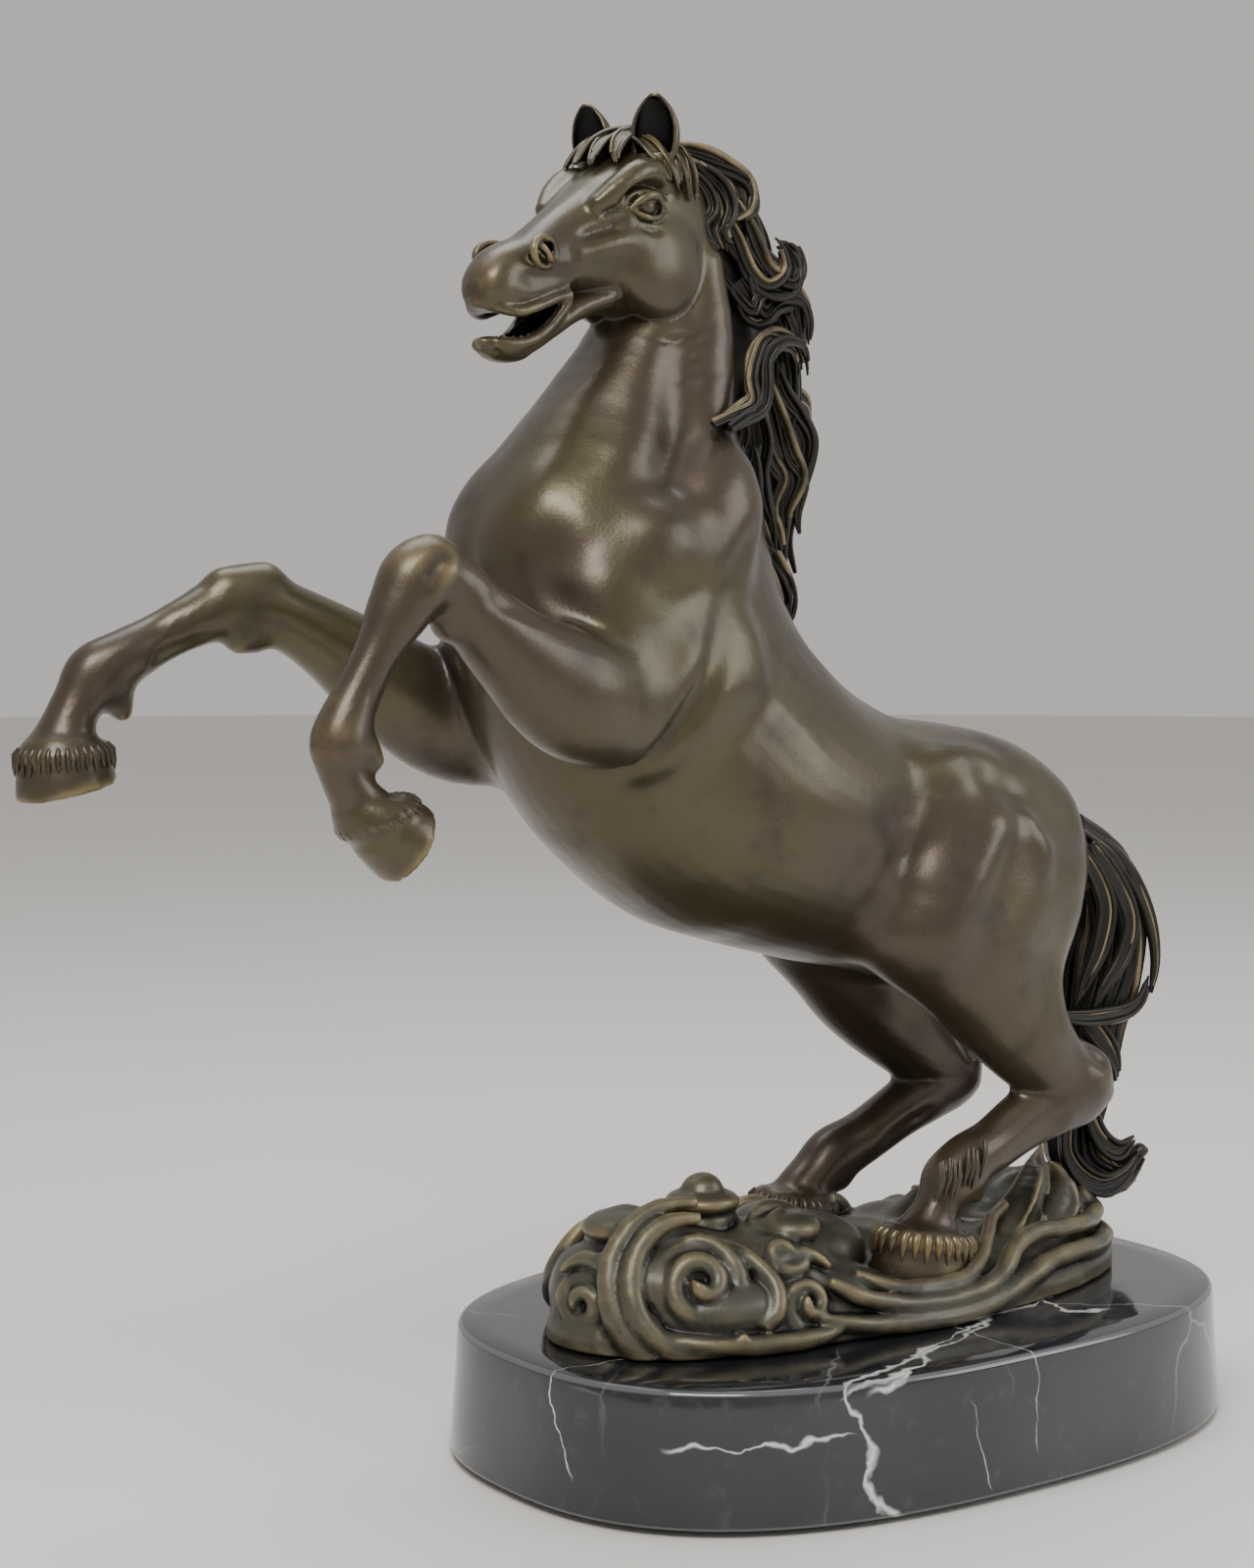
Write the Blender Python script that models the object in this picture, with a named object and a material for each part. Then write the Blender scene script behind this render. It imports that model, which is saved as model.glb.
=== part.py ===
"""A rearing bronze horse on a cast cloud base, bolted to a polished marble plinth.

Metres, +Z up.  The horse faces -X and its left side is -Y.  The origin is the centre
of the felt underside, where the statue rests.  Lengths below are in millimetres and
are turned into metres by MM as each mesh is made.

The horse is shaped as one body from lofted limbs and muscles, then sawn into the
sections that a foundry casts on their own and brazes together.
"""
import math

import bmesh
import bpy
from mathutils import Matrix, Vector

MM = 0.001
GAP = 0.3                      # air between two neighbouring pieces

# Plinth: a slab with the outline of a superellipse
PLINTH_LENGTH = 187.8
PLINTH_WIDTH = 128.0
PLINTH_TOP = 30.0
PLINTH_TAPER = 1.6             # the top is this much smaller than the foot, each way
PLINTH_CHAMFER = 1.0
PLINTH_EXPONENT = 2.55
PLINTH_SIDES = 72
FELT_THICKNESS = 1.2
FELT_INSET = 4.0

# Cloud base
CLOUD_LENGTH = 159.0
CLOUD_WIDTH = 69.0
CLOUD_MIDDLE = (-1.5, -1.5)
CLOUD_EXPONENT = 2.1
CLOUD_FOOT = PLINTH_TOP + GAP

# Fixings under the plinth: M6 studs with washers and nuts in counterbores
STUD_X = (-44.0, 40.0)
STUD_RADIUS = 3.0
STUD_TOP = 42.0
STUD_FOOT = 3.0
STUD_HOLE_RADIUS = 3.5
COUNTERBORE_RADIUS = 9.0
COUNTERBORE_TOP = 12.0
WASHER_RADIUS = 7.5
WASHER_THICKNESS = 1.6
NUT_ACROSS_FLATS = 10.0
NUT_HEIGHT = 5.0

# Pins that join the hind hooves to the cloud base
PIN_RADIUS = 2.0
PIN_REACH = 6.0                # into the hoof and into the base, each

VOXEL = 1.3                    # cell of the grid that joins the muscles
HAIR_VOXEL = 1.2
CLOUD_VOXEL = 1.6
HORSE_FACES = 9000             # triangles in the whole horse
CLOUD_FACES = 2200
MANE_FACES = 1000
TAIL_FACES = 600
FORELOCK_FACES = 300

# Torso and neck, tail to poll: top x, z, bottom x, z, half width
TRUNK = (
    (78, 127, 69, 110, 11),
    (72, 138.5, 52, 99, 22),
    (58, 149, 34, 98, 27),
    (43, 157, 17, 101, 28),
    (26, 161, 1, 105, 27),
    (11, 163, -17, 108.5, 28),
    (-1, 167.5, -36, 113.5, 30.5),
    (-11, 174, -56, 120, 32),
    (-19, 182, -76, 134, 31.5),
    (-24, 191, -91, 152, 29.5),
    (-27, 202, -100, 173, 27.5),
    (-30, 214, -102.5, 197, 24),
    (-33, 227, -96, 214, 19.5),
    (-36, 240, -85, 227, 16),
    (-40, 252, -75, 236, 13.5),
    (-44, 265, -67, 244, 12),
    (-49, 277, -61, 251, 10.5),
)

# Limbs: x, y, z of the centre line, half depth along the body, half width across it
LEFT_FORE = (
    (-70, -19, 168, 15, 10),
    (-91, -26, 170, 13.8, 11),
    (-101, -27, 174, 12, 10),
    (-110, -27.5, 180, 9.2, 8.5),
    (-118, -28, 186.5, 7.2, 6.8),
    (-124, -28, 192, 6.8, 6.4),
    (-130.5, -28, 194, 7.4, 6.4),
    (-135.5, -28, 187.5, 6.4, 5.8),
    (-140, -28, 180, 5, 4.8),
    (-144, -28, 173, 4.8, 4.7),
    (-147, -28, 167, 5.4, 5.3),
    (-148.5, -28, 162, 6.2, 5.8),
    (-148, -28, 156, 4.5, 4.6),
    (-145, -28, 151, 5, 5.6),
    (-142, -28, 148, 6.8, 7.2),
    (-137, -28, 142.5, 7.6, 8),
    (-135, -28, 140, 7.4, 8),
)
RIGHT_FORE = (
    (-66, 17, 164, 15, 10),
    (-90, 23, 163, 13.1, 10.5),
    (-105, 25, 171, 11.5, 9.8),
    (-118, 27, 180, 8.6, 8),
    (-127, 28, 185, 7.2, 6.8),
    (-135, 29, 188, 7.5, 6.6),
    (-142, 30, 188, 6.8, 6),
    (-150, 30, 185, 6, 5.2),
    (-157, 31, 181.5, 5.4, 4.9),
    (-164, 31, 178, 5.8, 5.3),
    (-170, 32, 174, 7, 6),
    (-174, 32, 169, 5.4, 5),
    (-176, 32, 165, 5.8, 5.8),
    (-177.5, 32, 160, 8.2, 7.6),
    (-178.5, 32, 153, 9.3, 8.6),
    (-179, 32, 149.5, 9.3, 8.8),
)
LEFT_HIND = (
    (24, -17, 133, 26, 13),
    (19, -20, 121, 24, 13),
    (17, -22, 111, 18.5, 12),
    (23, -22, 100, 12.9, 10.5),
    (34, -22, 89, 10.8, 9),
    (46, -22, 80, 10, 8),
    (52, -22, 76, 9.6, 7.6),
    (44, -22, 73, 8.6, 7),
    (34, -22, 69.5, 7.6, 6.4),
    (25, -22, 65, 6.9, 6.2),
    (17, -22, 62, 6.6, 6.4),
    (12, -22, 58, 6.8, 6.6),
    (8, -22, 53, 5.8, 6.2),
    (5, -22, 49, 7.4, 7.6),
    (2.5, -22, 42, 9, 8.8),
    (2, -22, 37, 9.2, 9.2),
)
RIGHT_HIND = (
    (22, 17, 130, 26, 13),
    (14, 18, 117, 20, 12.5),
    (13, 18, 107, 15, 11.5),
    (21, 19, 96, 12.2, 10.5),
    (34, 20, 85.5, 10.6, 9),
    (46, 20, 77, 9.6, 8),
    (50, 20, 73.5, 9, 7.6),
    (43, 20, 70, 8, 7),
    (33, 20, 65.5, 7.2, 6.4),
    (22, 20, 60.5, 7, 6.2),
    (13, 20, 57, 7.4, 6.6),
    (7, 20, 53, 6, 6.4),
    (3, 20, 49.5, 7.4, 7.6),
    (0, 20, 43, 9, 8.8),
    (-0.5, 20, 38, 9.2, 9.2),
)

# Head, nape to lips, and the lower jaw, before the head is turned to the left
HEAD_TURN = 14.0               # degrees about an upright axis at HEAD_PIVOT_X
HEAD_PIVOT_X = -54.0
HEAD = (
    (-50, 0, 270, 13, 9.5),
    (-58, 0, 268.5, 17.5, 12),
    (-66, 0, 266.5, 17, 12.5),
    (-74, 0, 264, 13.5, 11),
    (-82, 0, 261, 10.5, 8.5),
    (-90, 0, 258.5, 8.5, 7.2),
    (-97, 0, 256, 7.4, 7),
    (-103, 0, 253, 6.4, 6.4),
    (-108, 0, 250.5, 4.2, 5),
)
JAW = (
    (-66, 0, 254, 5, 8),
    (-76, 0, 251.5, 3.2, 6.4),
    (-84, 0, 248.6, 2.8, 5),
    (-91, 0, 244.6, 2.7, 4.4),
    (-98, 0, 240.4, 2.4, 4.2),
    (-106, 0, 240.4, 2.0, 3.4),
)
EAR_HEIGHT = 13.0
EAR_ROOTS = ((-63.5, -8.6, 281.5), (-65, 8.6, 281.5))

# Muscles: centre, half sizes, and tilt about Y in degrees
MUSCLES = (
    ((-80, -19, 190), (17, 10.5, 21), 20),
    ((-78, 19, 190), (17, 10.5, 21), 20),
    ((-66, -24, 172), (21, 9.5, 14), -35),
    ((-64, 24, 172), (21, 9, 14), -35),
    ((-86, -11, 201), (13, 11, 16), 15),
    ((-86, 11, 201), (13, 11, 16), 15),
    ((36, -19, 127), (30, 15, 24), 30),
    ((36, 19, 127), (30, 15, 24), 30),
    ((-61, -8.5, 259), (11, 5.5, 11), 0),
    ((-57, 5, 259), (11, 5.5, 11), 0),
)

# Saw cuts between the sections: a side outline as x, z points, and its reach in y
FORELEG_OUTLINE = ((-96, 148), (-106, 192), (-113, 199), (-116, 215), (-200, 215), (-200, 120),
                   (-96, 120))
HIND_LEG_OUTLINE = ((-25, 96), (90, 96), (90, 25), (-25, 25))
HEAD_OUTLINE = ((-44, 302), (-49, 280), (-67, 246), (-84, 234), (-115, 234), (-115, 302))
SAWS = {
    "head": (HEAD_OUTLINE, -40, 40),
    "left_foreleg": (FORELEG_OUTLINE, -60, -2),
    "right_foreleg": (FORELEG_OUTLINE, 2, 60),
    "left_hind_leg": (HIND_LEG_OUTLINE, -60, -2),
    "right_hind_leg": (HIND_LEG_OUTLINE, 2, 60),
}

# Mane, tail and forelock: x, y, z, half depth, half width
MANE = (
    (-54, 3, 283, 5, 5),
    (-45, 4, 281, 8, 6.5),
    (-37, 4, 270, 10.5, 7),
    (-31, 4, 257, 12, 7.5),
    (-28, 4, 243, 13.5, 7.5),
    (-27, 4, 229, 14, 7),
    (-27, 3, 215, 12, 6.5),
    (-25, 1, 202, 9, 5.5),
    (-20, -1, 189, 4, 3.5),
)
NEAR_LOCK = (
    (-26, 1, 243, 5, 6),
    (-31, -5, 242, 5, 5.5),
    (-37, -10, 239.5, 4, 4),
    (-42, -13, 237, 3, 3),
    (-46, -15.5, 234.5, 1.6, 1.8),
)
TAIL = (
    (74, 4, 133, 5, 6),
    (86, 5, 124, 7, 8),
    (92, 6, 110, 10, 9),
    (90, 6, 97, 12, 9),
    (86, 6, 85, 11, 8),
    (84, 6, 72, 9, 7),
    (80, 6, 60, 8, 7),
    (80, 4, 51, 8, 6),
    (88, 0, 47, 6, 5),
    (95, -4, 54, 2.5, 2.5),
)
FORELOCK = (
    (-54, -1, 288, 4, 6),
    (-62, -1, 286, 4.5, 7),
    (-69, -2, 282.5, 3, 7),
    (-74, -3, 279, 1.5, 5),
)

# Knobs and crests that stand on the cloud base: centre and half sizes
KNOBS = (
    ((-55, -4, 45), (21, 19, 13)),
    ((-33, -10, 46), (18, 18, 12)),
    ((-40, 4, 54), (12, 11, 7)),
    ((-66, 2, 42), (11, 15, 11)),
    ((-48, -19, 39), (17, 12, 9)),
    ((-24, -22, 38), (15, 11, 9)),
    ((-17, -6, 47), (15, 15, 8)),
    ((6, 10, 37), (30, 18, 9)),
    ((3, -23, 33), (18, 12, 6)),
    ((42, -10, 36), (30, 18, 8)),
    ((56, 6, 41), (20, 13, 9)),
    ((50, 3, 47), (8, 7, 9)),
    ((66, -8, 42), (8, 8, 8)),
)

MATERIALS = {                  # colour, roughness, metallic
    "bronze": ((0.150, 0.105, 0.062, 1), 0.38, 1.0),
    "dark_bronze": ((0.060, 0.045, 0.030, 1), 0.45, 1.0),
    "cloud_bronze": ((0.120, 0.110, 0.070, 1), 0.42, 1.0),
    "marble": ((0.022, 0.023, 0.027, 1), 0.12, 0.0),
    "felt": ((0.020, 0.060, 0.035, 1), 0.95, 0.0),
    "steel": ((0.550, 0.550, 0.560, 1), 0.35, 1.0),
}


def clear_scene():
    for obj in list(bpy.data.objects):
        bpy.data.objects.remove(obj, do_unlink=True)


def material(name, look):
    colour, roughness, metallic = MATERIALS[look]
    made = bpy.data.materials.new(name + "_" + look)
    made.use_nodes = True
    shader = made.node_tree.nodes["Principled BSDF"]
    shader.inputs["Base Color"].default_value = colour
    shader.inputs["Roughness"].default_value = roughness
    shader.inputs["Metallic"].default_value = metallic
    made.diffuse_color = colour
    return made


def object_of(name, bm, look=None):
    """Turn a bmesh in millimetres into an object in metres."""
    bmesh.ops.scale(bm, vec=(MM, MM, MM), verts=bm.verts)
    bmesh.ops.recalc_face_normals(bm, faces=bm.faces)
    mesh = bpy.data.meshes.new(name)
    bm.to_mesh(mesh)
    bm.free()
    obj = bpy.data.objects.new(name, mesh)
    bpy.context.scene.collection.objects.link(obj)
    if look:
        mesh.materials.append(material(name, look))
    else:
        obj.hide_render = True
        obj.display_type = "WIRE"
    return obj


def skin(bm, rings):
    """Bridge the rings in order and close both ends."""
    loops = [[bm.verts.new(point) for point in ring] for ring in rings]
    for low, high in zip(loops, loops[1:]):
        for i in range(len(low)):
            j = (i + 1) % len(low)
            bm.faces.new((low[i], low[j], high[j], high[i]))
    bm.faces.new(list(reversed(loops[0])))
    bm.faces.new(loops[-1])


def ellipse(middle, up, side, count=20):
    turns = [2 * math.pi * i / count for i in range(count)]
    return [middle + up * math.cos(a) + side * math.sin(a) for a in turns]


def trunk_rings(stations):
    rings = []
    for top_x, top_z, low_x, low_z, width in stations:
        top = Vector((top_x, 0, top_z))
        low = Vector((low_x, 0, low_z))
        rings.append(ellipse((top + low) / 2, (top - low) / 2, Vector((0, width, 0)), 28))
    return rings


def turned(point):
    """A point of the unturned head, swung with the head to the left."""
    pivot = Vector((HEAD_PIVOT_X, 0, 0))
    return pivot + Matrix.Rotation(math.radians(HEAD_TURN), 3, "Z") @ (Vector(point) - pivot)


def limb_rings(stations, count=18):
    """Rings square to the centre line, each an ellipse of its own depth and width."""
    points = [Vector(station[:3]) for station in stations]
    rings = []
    for i, station in enumerate(stations):
        ahead = points[min(i + 1, len(points) - 1)]
        behind = points[max(i - 1, 0)]
        along = (ahead - behind).normalized()
        side = Vector((0, 1, 0))
        side = (side - along * side.dot(along)).normalized()
        up = along.cross(side)
        rings.append(ellipse(points[i], up * station[3], side * station[4], count))
    return rings


def add_ball(bm, centre, half_sizes, tilt=0.0):
    place = Matrix.Translation(centre) @ Matrix.Rotation(math.radians(tilt), 4, "Y")
    size = Matrix.Diagonal((*half_sizes, 1))
    bmesh.ops.create_icosphere(bm, subdivisions=3, radius=1, matrix=place @ size)


def add_ear(bm, root):
    """A pricked ear: a leaf that narrows to a point and leans out."""
    lean = -0.12 if root[1] < 0 else 0.12
    rings = []
    for share, half_depth, half_width in ((-0.3, 2.6, 3.6), (0.0, 3.0, 4.2), (0.35, 2.8, 4.6),
                                          (0.7, 2.0, 3.2), (0.92, 1.1, 1.4), (1.0, 0.5, 0.6)):
        rise = EAR_HEIGHT * share
        middle = Vector(root) + Vector((-0.10 * rise, lean * rise, rise))
        ring = ellipse(middle, Vector((half_depth, 0, 0)), Vector((0, half_width, 0)), 12)
        rings.append([turned(point) for point in ring])
    skin(bm, rings)


def add_modifier(obj, kind, **settings):
    modifier = obj.modifiers.new(kind.title(), kind)
    for key, value in settings.items():
        setattr(modifier, key, value)
    return modifier


def join_by_voxels(obj, cell, smoothing=3):
    add_modifier(obj, "REMESH", mode="VOXEL", voxel_size=cell * MM)
    add_modifier(obj, "SMOOTH", factor=0.5, iterations=smoothing)


def baked(obj, name, look=None):
    """A copy of the object as its modifiers leave it."""
    graph = bpy.context.evaluated_depsgraph_get()
    mesh = bpy.data.meshes.new_from_object(obj.evaluated_get(graph))
    mesh.name = name
    mesh.materials.clear()
    copy = bpy.data.objects.new(name, mesh)
    bpy.context.scene.collection.objects.link(copy)
    if look:
        mesh.materials.append(material(name, look))
    else:
        copy.hide_render = True
        copy.display_type = "WIRE"
    return copy


def cut(obj, cutter, operation="DIFFERENCE"):
    add_modifier(obj, "BOOLEAN", operation=operation, object=cutter, solver="EXACT")


def thin_out(obj, faces):
    """Collapse triangles until about this many are left."""
    bpy.context.view_layer.update()
    graph = bpy.context.evaluated_depsgraph_get()
    mesh = obj.evaluated_get(graph).to_mesh()
    mesh.calc_loop_triangles()
    now = len(mesh.loop_triangles)
    if now > faces:
        add_modifier(obj, "DECIMATE", ratio=faces / now)


def swollen(obj, name, amount):
    """A cutter with the object's shape, larger by amount all round."""
    cutter = baked(obj, name)
    add_modifier(cutter, "DISPLACE", strength=amount * MM, mid_level=0.0)
    return cutter


def horse_body():
    bm = bmesh.new()
    skin(bm, trunk_rings(TRUNK))
    for limb in (LEFT_FORE, RIGHT_FORE, LEFT_HIND, RIGHT_HIND):
        skin(bm, limb_rings(limb))
    for part in (HEAD, JAW):
        skin(bm, [[turned(point) for point in ring] for ring in limb_rings(part)])
    for centre, half_sizes, tilt in MUSCLES:
        add_ball(bm, centre, half_sizes, tilt)
    for root in EAR_ROOTS:
        add_ear(bm, root)
    body = object_of("horse_body", bm)
    add_modifier(body, "SUBSURF", levels=1, render_levels=1)
    join_by_voxels(body, VOXEL)
    blank = baked(body, "horse_blank")
    thin_out(blank, HORSE_FACES)
    return blank


def saw(name, spare=0.0):
    """The space beyond a saw cut; spare makes it that much larger on every side."""
    outline, low_y, high_y = SAWS[name]
    bm = bmesh.new()
    skin(bm, [[Vector((x, y, z)) for x, z in outline] for y in (low_y, high_y)])
    obj = object_of(name + ("_saw_wide" if spare else "_saw"), bm)
    if spare:
        add_modifier(obj, "DISPLACE", strength=spare * MM, mid_level=0.0)
    return obj


def sections(blank):
    """Saw the blank into the torso, the head and four legs."""
    made = {}
    torso = baked(blank, "torso", "bronze")
    for name in SAWS:
        piece = baked(blank, name, "bronze")
        cut(piece, saw(name), "INTERSECT")
        cut(torso, saw(name, GAP * 1.5))
        made[name] = piece
    return made


def hair(name, look, strands, cutters, faces):
    bm = bmesh.new()
    for strand in strands:
        skin(bm, limb_rings(strand, 14))
    lump = object_of(name + "_lump", bm)
    add_modifier(lump, "SUBSURF", levels=2, render_levels=2)
    join_by_voxels(lump, HAIR_VOXEL, 2)
    blank = baked(lump, name + "_blank")
    thin_out(blank, faces)
    obj = baked(blank, name, look)
    for cutter in cutters:
        cut(obj, cutter)
    return obj


def superellipse(half_x, half_y, z, count, middle=(0, 0), exponent=PLINTH_EXPONENT):
    points = []
    for i in range(count):
        angle = 2 * math.pi * i / count
        c, s = math.cos(angle), math.sin(angle)
        x = middle[0] + half_x * math.copysign(abs(c) ** (2 / exponent), c)
        y = middle[1] + half_y * math.copysign(abs(s) ** (2 / exponent), s)
        points.append(Vector((x, y, z)))
    return points


def rod(name, x, y, low, high, radius, sides=24, look=None):
    bm = bmesh.new()
    turn = Vector((radius, 0, 0))
    across = Vector((0, radius, 0))
    ends = [Vector((x, y, low)), Vector((x, y, high))]
    skin(bm, [ellipse(end, turn, across, sides) for end in ends])
    return object_of(name, bm, look)


def marble_plinth():
    half_x = PLINTH_LENGTH / 2
    half_y = PLINTH_WIDTH / 2
    foot = FELT_THICKNESS + GAP
    rows = (
        (foot, PLINTH_CHAMFER / 2),
        (foot + PLINTH_CHAMFER / 2, 0),
        (PLINTH_TOP - PLINTH_CHAMFER, PLINTH_TAPER),
        (PLINTH_TOP, PLINTH_TAPER + PLINTH_CHAMFER),
    )
    bm = bmesh.new()
    skin(bm, [superellipse(half_x - inset, half_y - inset, z, PLINTH_SIDES) for z, inset in rows])
    slab = object_of("marble_plinth", bm, "marble")
    for i, x in enumerate(STUD_X):
        cut(slab, rod(f"stud_drill_{i}", x, 0, -1, PLINTH_TOP + 1, STUD_HOLE_RADIUS))
        cut(slab, rod(f"counterbore_{i}", x, 0, -1, COUNTERBORE_TOP, COUNTERBORE_RADIUS, 32))


def felt_pad():
    bm = bmesh.new()
    half_x = PLINTH_LENGTH / 2 - FELT_INSET
    half_y = PLINTH_WIDTH / 2 - FELT_INSET
    skin(bm, [superellipse(half_x, half_y, z, PLINTH_SIDES) for z in (0, FELT_THICKNESS)])
    object_of("felt_pad", bm, "felt")


def cloud_base(cutters):
    """A skirt with the footprint, topped by rounded knobs, flat underneath."""
    bm = bmesh.new()
    rows = ((CLOUD_FOOT - 4, 0), (34, 0), (38, 3), (41, 9))
    half_x = CLOUD_LENGTH / 2
    half_y = CLOUD_WIDTH / 2
    skin(bm, [superellipse(half_x - inset, half_y - inset, z, 48, CLOUD_MIDDLE, CLOUD_EXPONENT)
              for z, inset in rows])
    for centre, half_sizes in KNOBS:
        add_ball(bm, centre, half_sizes)
    lump = object_of("cloud_lump", bm)
    join_by_voxels(lump, CLOUD_VOXEL, 2)
    blank = baked(lump, "cloud_blank")
    thin_out(blank, CLOUD_FACES)
    base = baked(blank, "cloud_base", "cloud_bronze")
    floor = object_of("cloud_floor_saw", slab_below(CLOUD_FOOT))
    cut(base, floor)
    for cutter in cutters:
        cut(base, cutter)
    for i, x in enumerate(STUD_X):
        cut(base, rod(f"stud_socket_{i}", x, 0, 20, STUD_TOP + GAP, STUD_RADIUS + GAP))


def slab_below(top, reach=120, depth=30):
    bm = bmesh.new()
    corners = ((-1, -1), (1, -1), (1, 1), (-1, 1))
    skin(bm, [[Vector((a * reach, b * reach, z)) for a, b in corners] for z in (top - depth, top)])
    return bm


def hexagon(across_flats):
    """The radius of a hexagon at each angle round its centre."""
    def radius(angle):
        from_corner = angle % (math.pi / 3)
        return across_flats / 2 / math.cos(from_corner - math.pi / 6)
    return radius


def flat_ring(name, x, low, high, outer_radius, bore, look, sides=24):
    """A flat ring with one round hole; outer_radius gives the rim at each angle."""
    turns = [2 * math.pi * i / sides for i in range(sides)]
    bm = bmesh.new()
    loops = []
    for radius, z in ((lambda a: bore, low), (outer_radius, low),
                      (outer_radius, high), (lambda a: bore, high)):
        loops.append([bm.verts.new((x + radius(a) * math.cos(a), radius(a) * math.sin(a), z))
                      for a in turns])
    for a, b in zip(loops, loops[1:] + loops[:1]):
        for i in range(sides):
            j = (i + 1) % sides
            bm.faces.new((a[i], a[j], b[j], b[i]))
    object_of(name, bm, look)


def fixings():
    washer_top = COUNTERBORE_TOP - GAP
    washer_low = washer_top - WASHER_THICKNESS
    nut_top = washer_low - GAP
    nut_low = nut_top - NUT_HEIGHT
    bore = STUD_RADIUS + GAP
    for end, x in zip(("front", "rear"), STUD_X):
        rod(end + "_stud", x, 0, STUD_FOOT, STUD_TOP, STUD_RADIUS, 20, "steel")
        flat_ring(end + "_washer", x, washer_low, washer_top, lambda a: WASHER_RADIUS, bore, "steel")
        flat_ring(end + "_nut", x, nut_low, nut_top, hexagon(NUT_ACROSS_FLATS), bore, "steel")


def hoof_pin(side, limb, legs):
    """A pin up into the hoof and down into the base, and the holes that take it."""
    x, y, sole = limb[-1][:3]
    low = sole - PIN_REACH
    high = sole + PIN_REACH
    rod(side + "_hoof_pin", x, y, low, high, PIN_RADIUS, 16, "bronze")
    hole = rod(side + "_pin_hole", x, y, low - GAP, high + GAP, PIN_RADIUS + GAP, 16)
    cut(legs, hole)
    return hole


def build():
    clear_scene()
    blank = horse_body()
    made = sections(blank)
    horse_cutter = swollen(blank, "horse_clearance", GAP + 0.1)
    tail = hair("tail", "dark_bronze", (TAIL,), (horse_cutter,), TAIL_FACES)
    mane = hair("mane", "dark_bronze", (MANE, NEAR_LOCK), (horse_cutter,), MANE_FACES)
    mane_cutter = swollen(mane, "mane_clearance", GAP + 0.2)
    hair("forelock", "dark_bronze", (FORELOCK,), (horse_cutter, mane_cutter), FORELOCK_FACES)
    holes = [hoof_pin("left", LEFT_HIND, made["left_hind_leg"]),
             hoof_pin("right", RIGHT_HIND, made["right_hind_leg"])]
    tail_cutter = swollen(tail, "tail_clearance", GAP + 0.2)
    cloud_base([horse_cutter, tail_cutter] + holes)
    marble_plinth()
    felt_pad()
    fixings()


build()
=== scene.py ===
# %% [markdown]
# # A rearing bronze horse on scrolled clouds and polished marble
#
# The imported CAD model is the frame: it fixes every size and place, in metres, with the
# horse facing -X and +Z up.  Each CAD node is then replaced by a piece with the real
# modelling on it.  The bronze is shaped the way a caster shapes wax: big forms first,
# then muscles pressed on, then lines drawn with a tool.

# %% Load the frame
import math

import bmesh
import bpy
import numpy as np
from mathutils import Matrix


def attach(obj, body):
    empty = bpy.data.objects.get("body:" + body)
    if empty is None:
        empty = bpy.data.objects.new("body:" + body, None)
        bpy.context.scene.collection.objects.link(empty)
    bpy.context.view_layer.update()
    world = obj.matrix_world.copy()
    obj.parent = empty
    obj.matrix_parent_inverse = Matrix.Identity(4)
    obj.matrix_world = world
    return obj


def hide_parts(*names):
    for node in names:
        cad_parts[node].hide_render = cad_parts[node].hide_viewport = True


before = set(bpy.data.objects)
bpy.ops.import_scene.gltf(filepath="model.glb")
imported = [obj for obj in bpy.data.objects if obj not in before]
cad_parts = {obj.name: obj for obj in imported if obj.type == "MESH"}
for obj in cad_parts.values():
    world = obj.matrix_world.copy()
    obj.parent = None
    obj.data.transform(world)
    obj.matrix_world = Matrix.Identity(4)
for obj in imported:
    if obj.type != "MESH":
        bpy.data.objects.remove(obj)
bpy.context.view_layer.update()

import openvdb as vdb
from mathutils import Vector

MM = 0.001                     # shapes are written in millimetres, meshes are in metres
BAND = 10.0                    # distances are known this far from a surface

# %% [markdown]
# ## Wax on a grid
#
# Sculpted metal has no seams: a thigh swells out of a flank with no edge between them.
# Mesh Booleans leave creases, and metaballs are hard to steer.  A signed distance grid
# does it well: each cell of a box holds its distance to the surface, below zero inside.
# Two shapes join by taking the smaller distance, and a smooth minimum rounds the join.
# Blender ships with OpenVDB, which turns a closed mesh into such a grid and back.

# %% The wax grid
def smooth_min(a, b, blend):
    """The smaller of two distances, rounded over where they are within blend."""
    if blend <= 0:
        return np.minimum(a, b)
    h = np.maximum(blend - np.abs(a - b), 0) / blend
    return np.minimum(a, b) - h * h * (blend / 4)


class Wax:
    """A box of small cubes, each with its distance in mm to the surface."""

    def __init__(self, low, high, cell):
        self.cell = cell
        self.first = np.floor(np.array(low) / cell).astype(int)
        self.size = np.ceil(np.array(high) / cell).astype(int) - self.first + 1
        self.d = np.full(self.size, BAND, np.float32)

    def window(self, points, margin):
        """The part of the grid round some points: its slices, and its x, y and z."""
        points = np.atleast_2d(points)
        low = np.floor((points.min(0) - margin) / self.cell).astype(int) - self.first
        high = np.ceil((points.max(0) + margin) / self.cell).astype(int) - self.first
        low = np.clip(low, 0, self.size - 2)
        high = np.clip(high, low + 1, self.size - 1)
        where = tuple(slice(a, b + 1) for a, b in zip(low, high))
        axes = [((np.arange(a, b + 1) + c) * self.cell).astype(np.float32)
                for a, b, c in zip(low, high, self.first)]
        return where, np.meshgrid(*axes, indexing="ij", sparse=True)

    def add(self, where, d, blend):
        self.d[where] = smooth_min(self.d[where], d, blend)

    def cut(self, where, d, blend):
        self.d[where] = -smooth_min(-self.d[where], d, blend)
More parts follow.
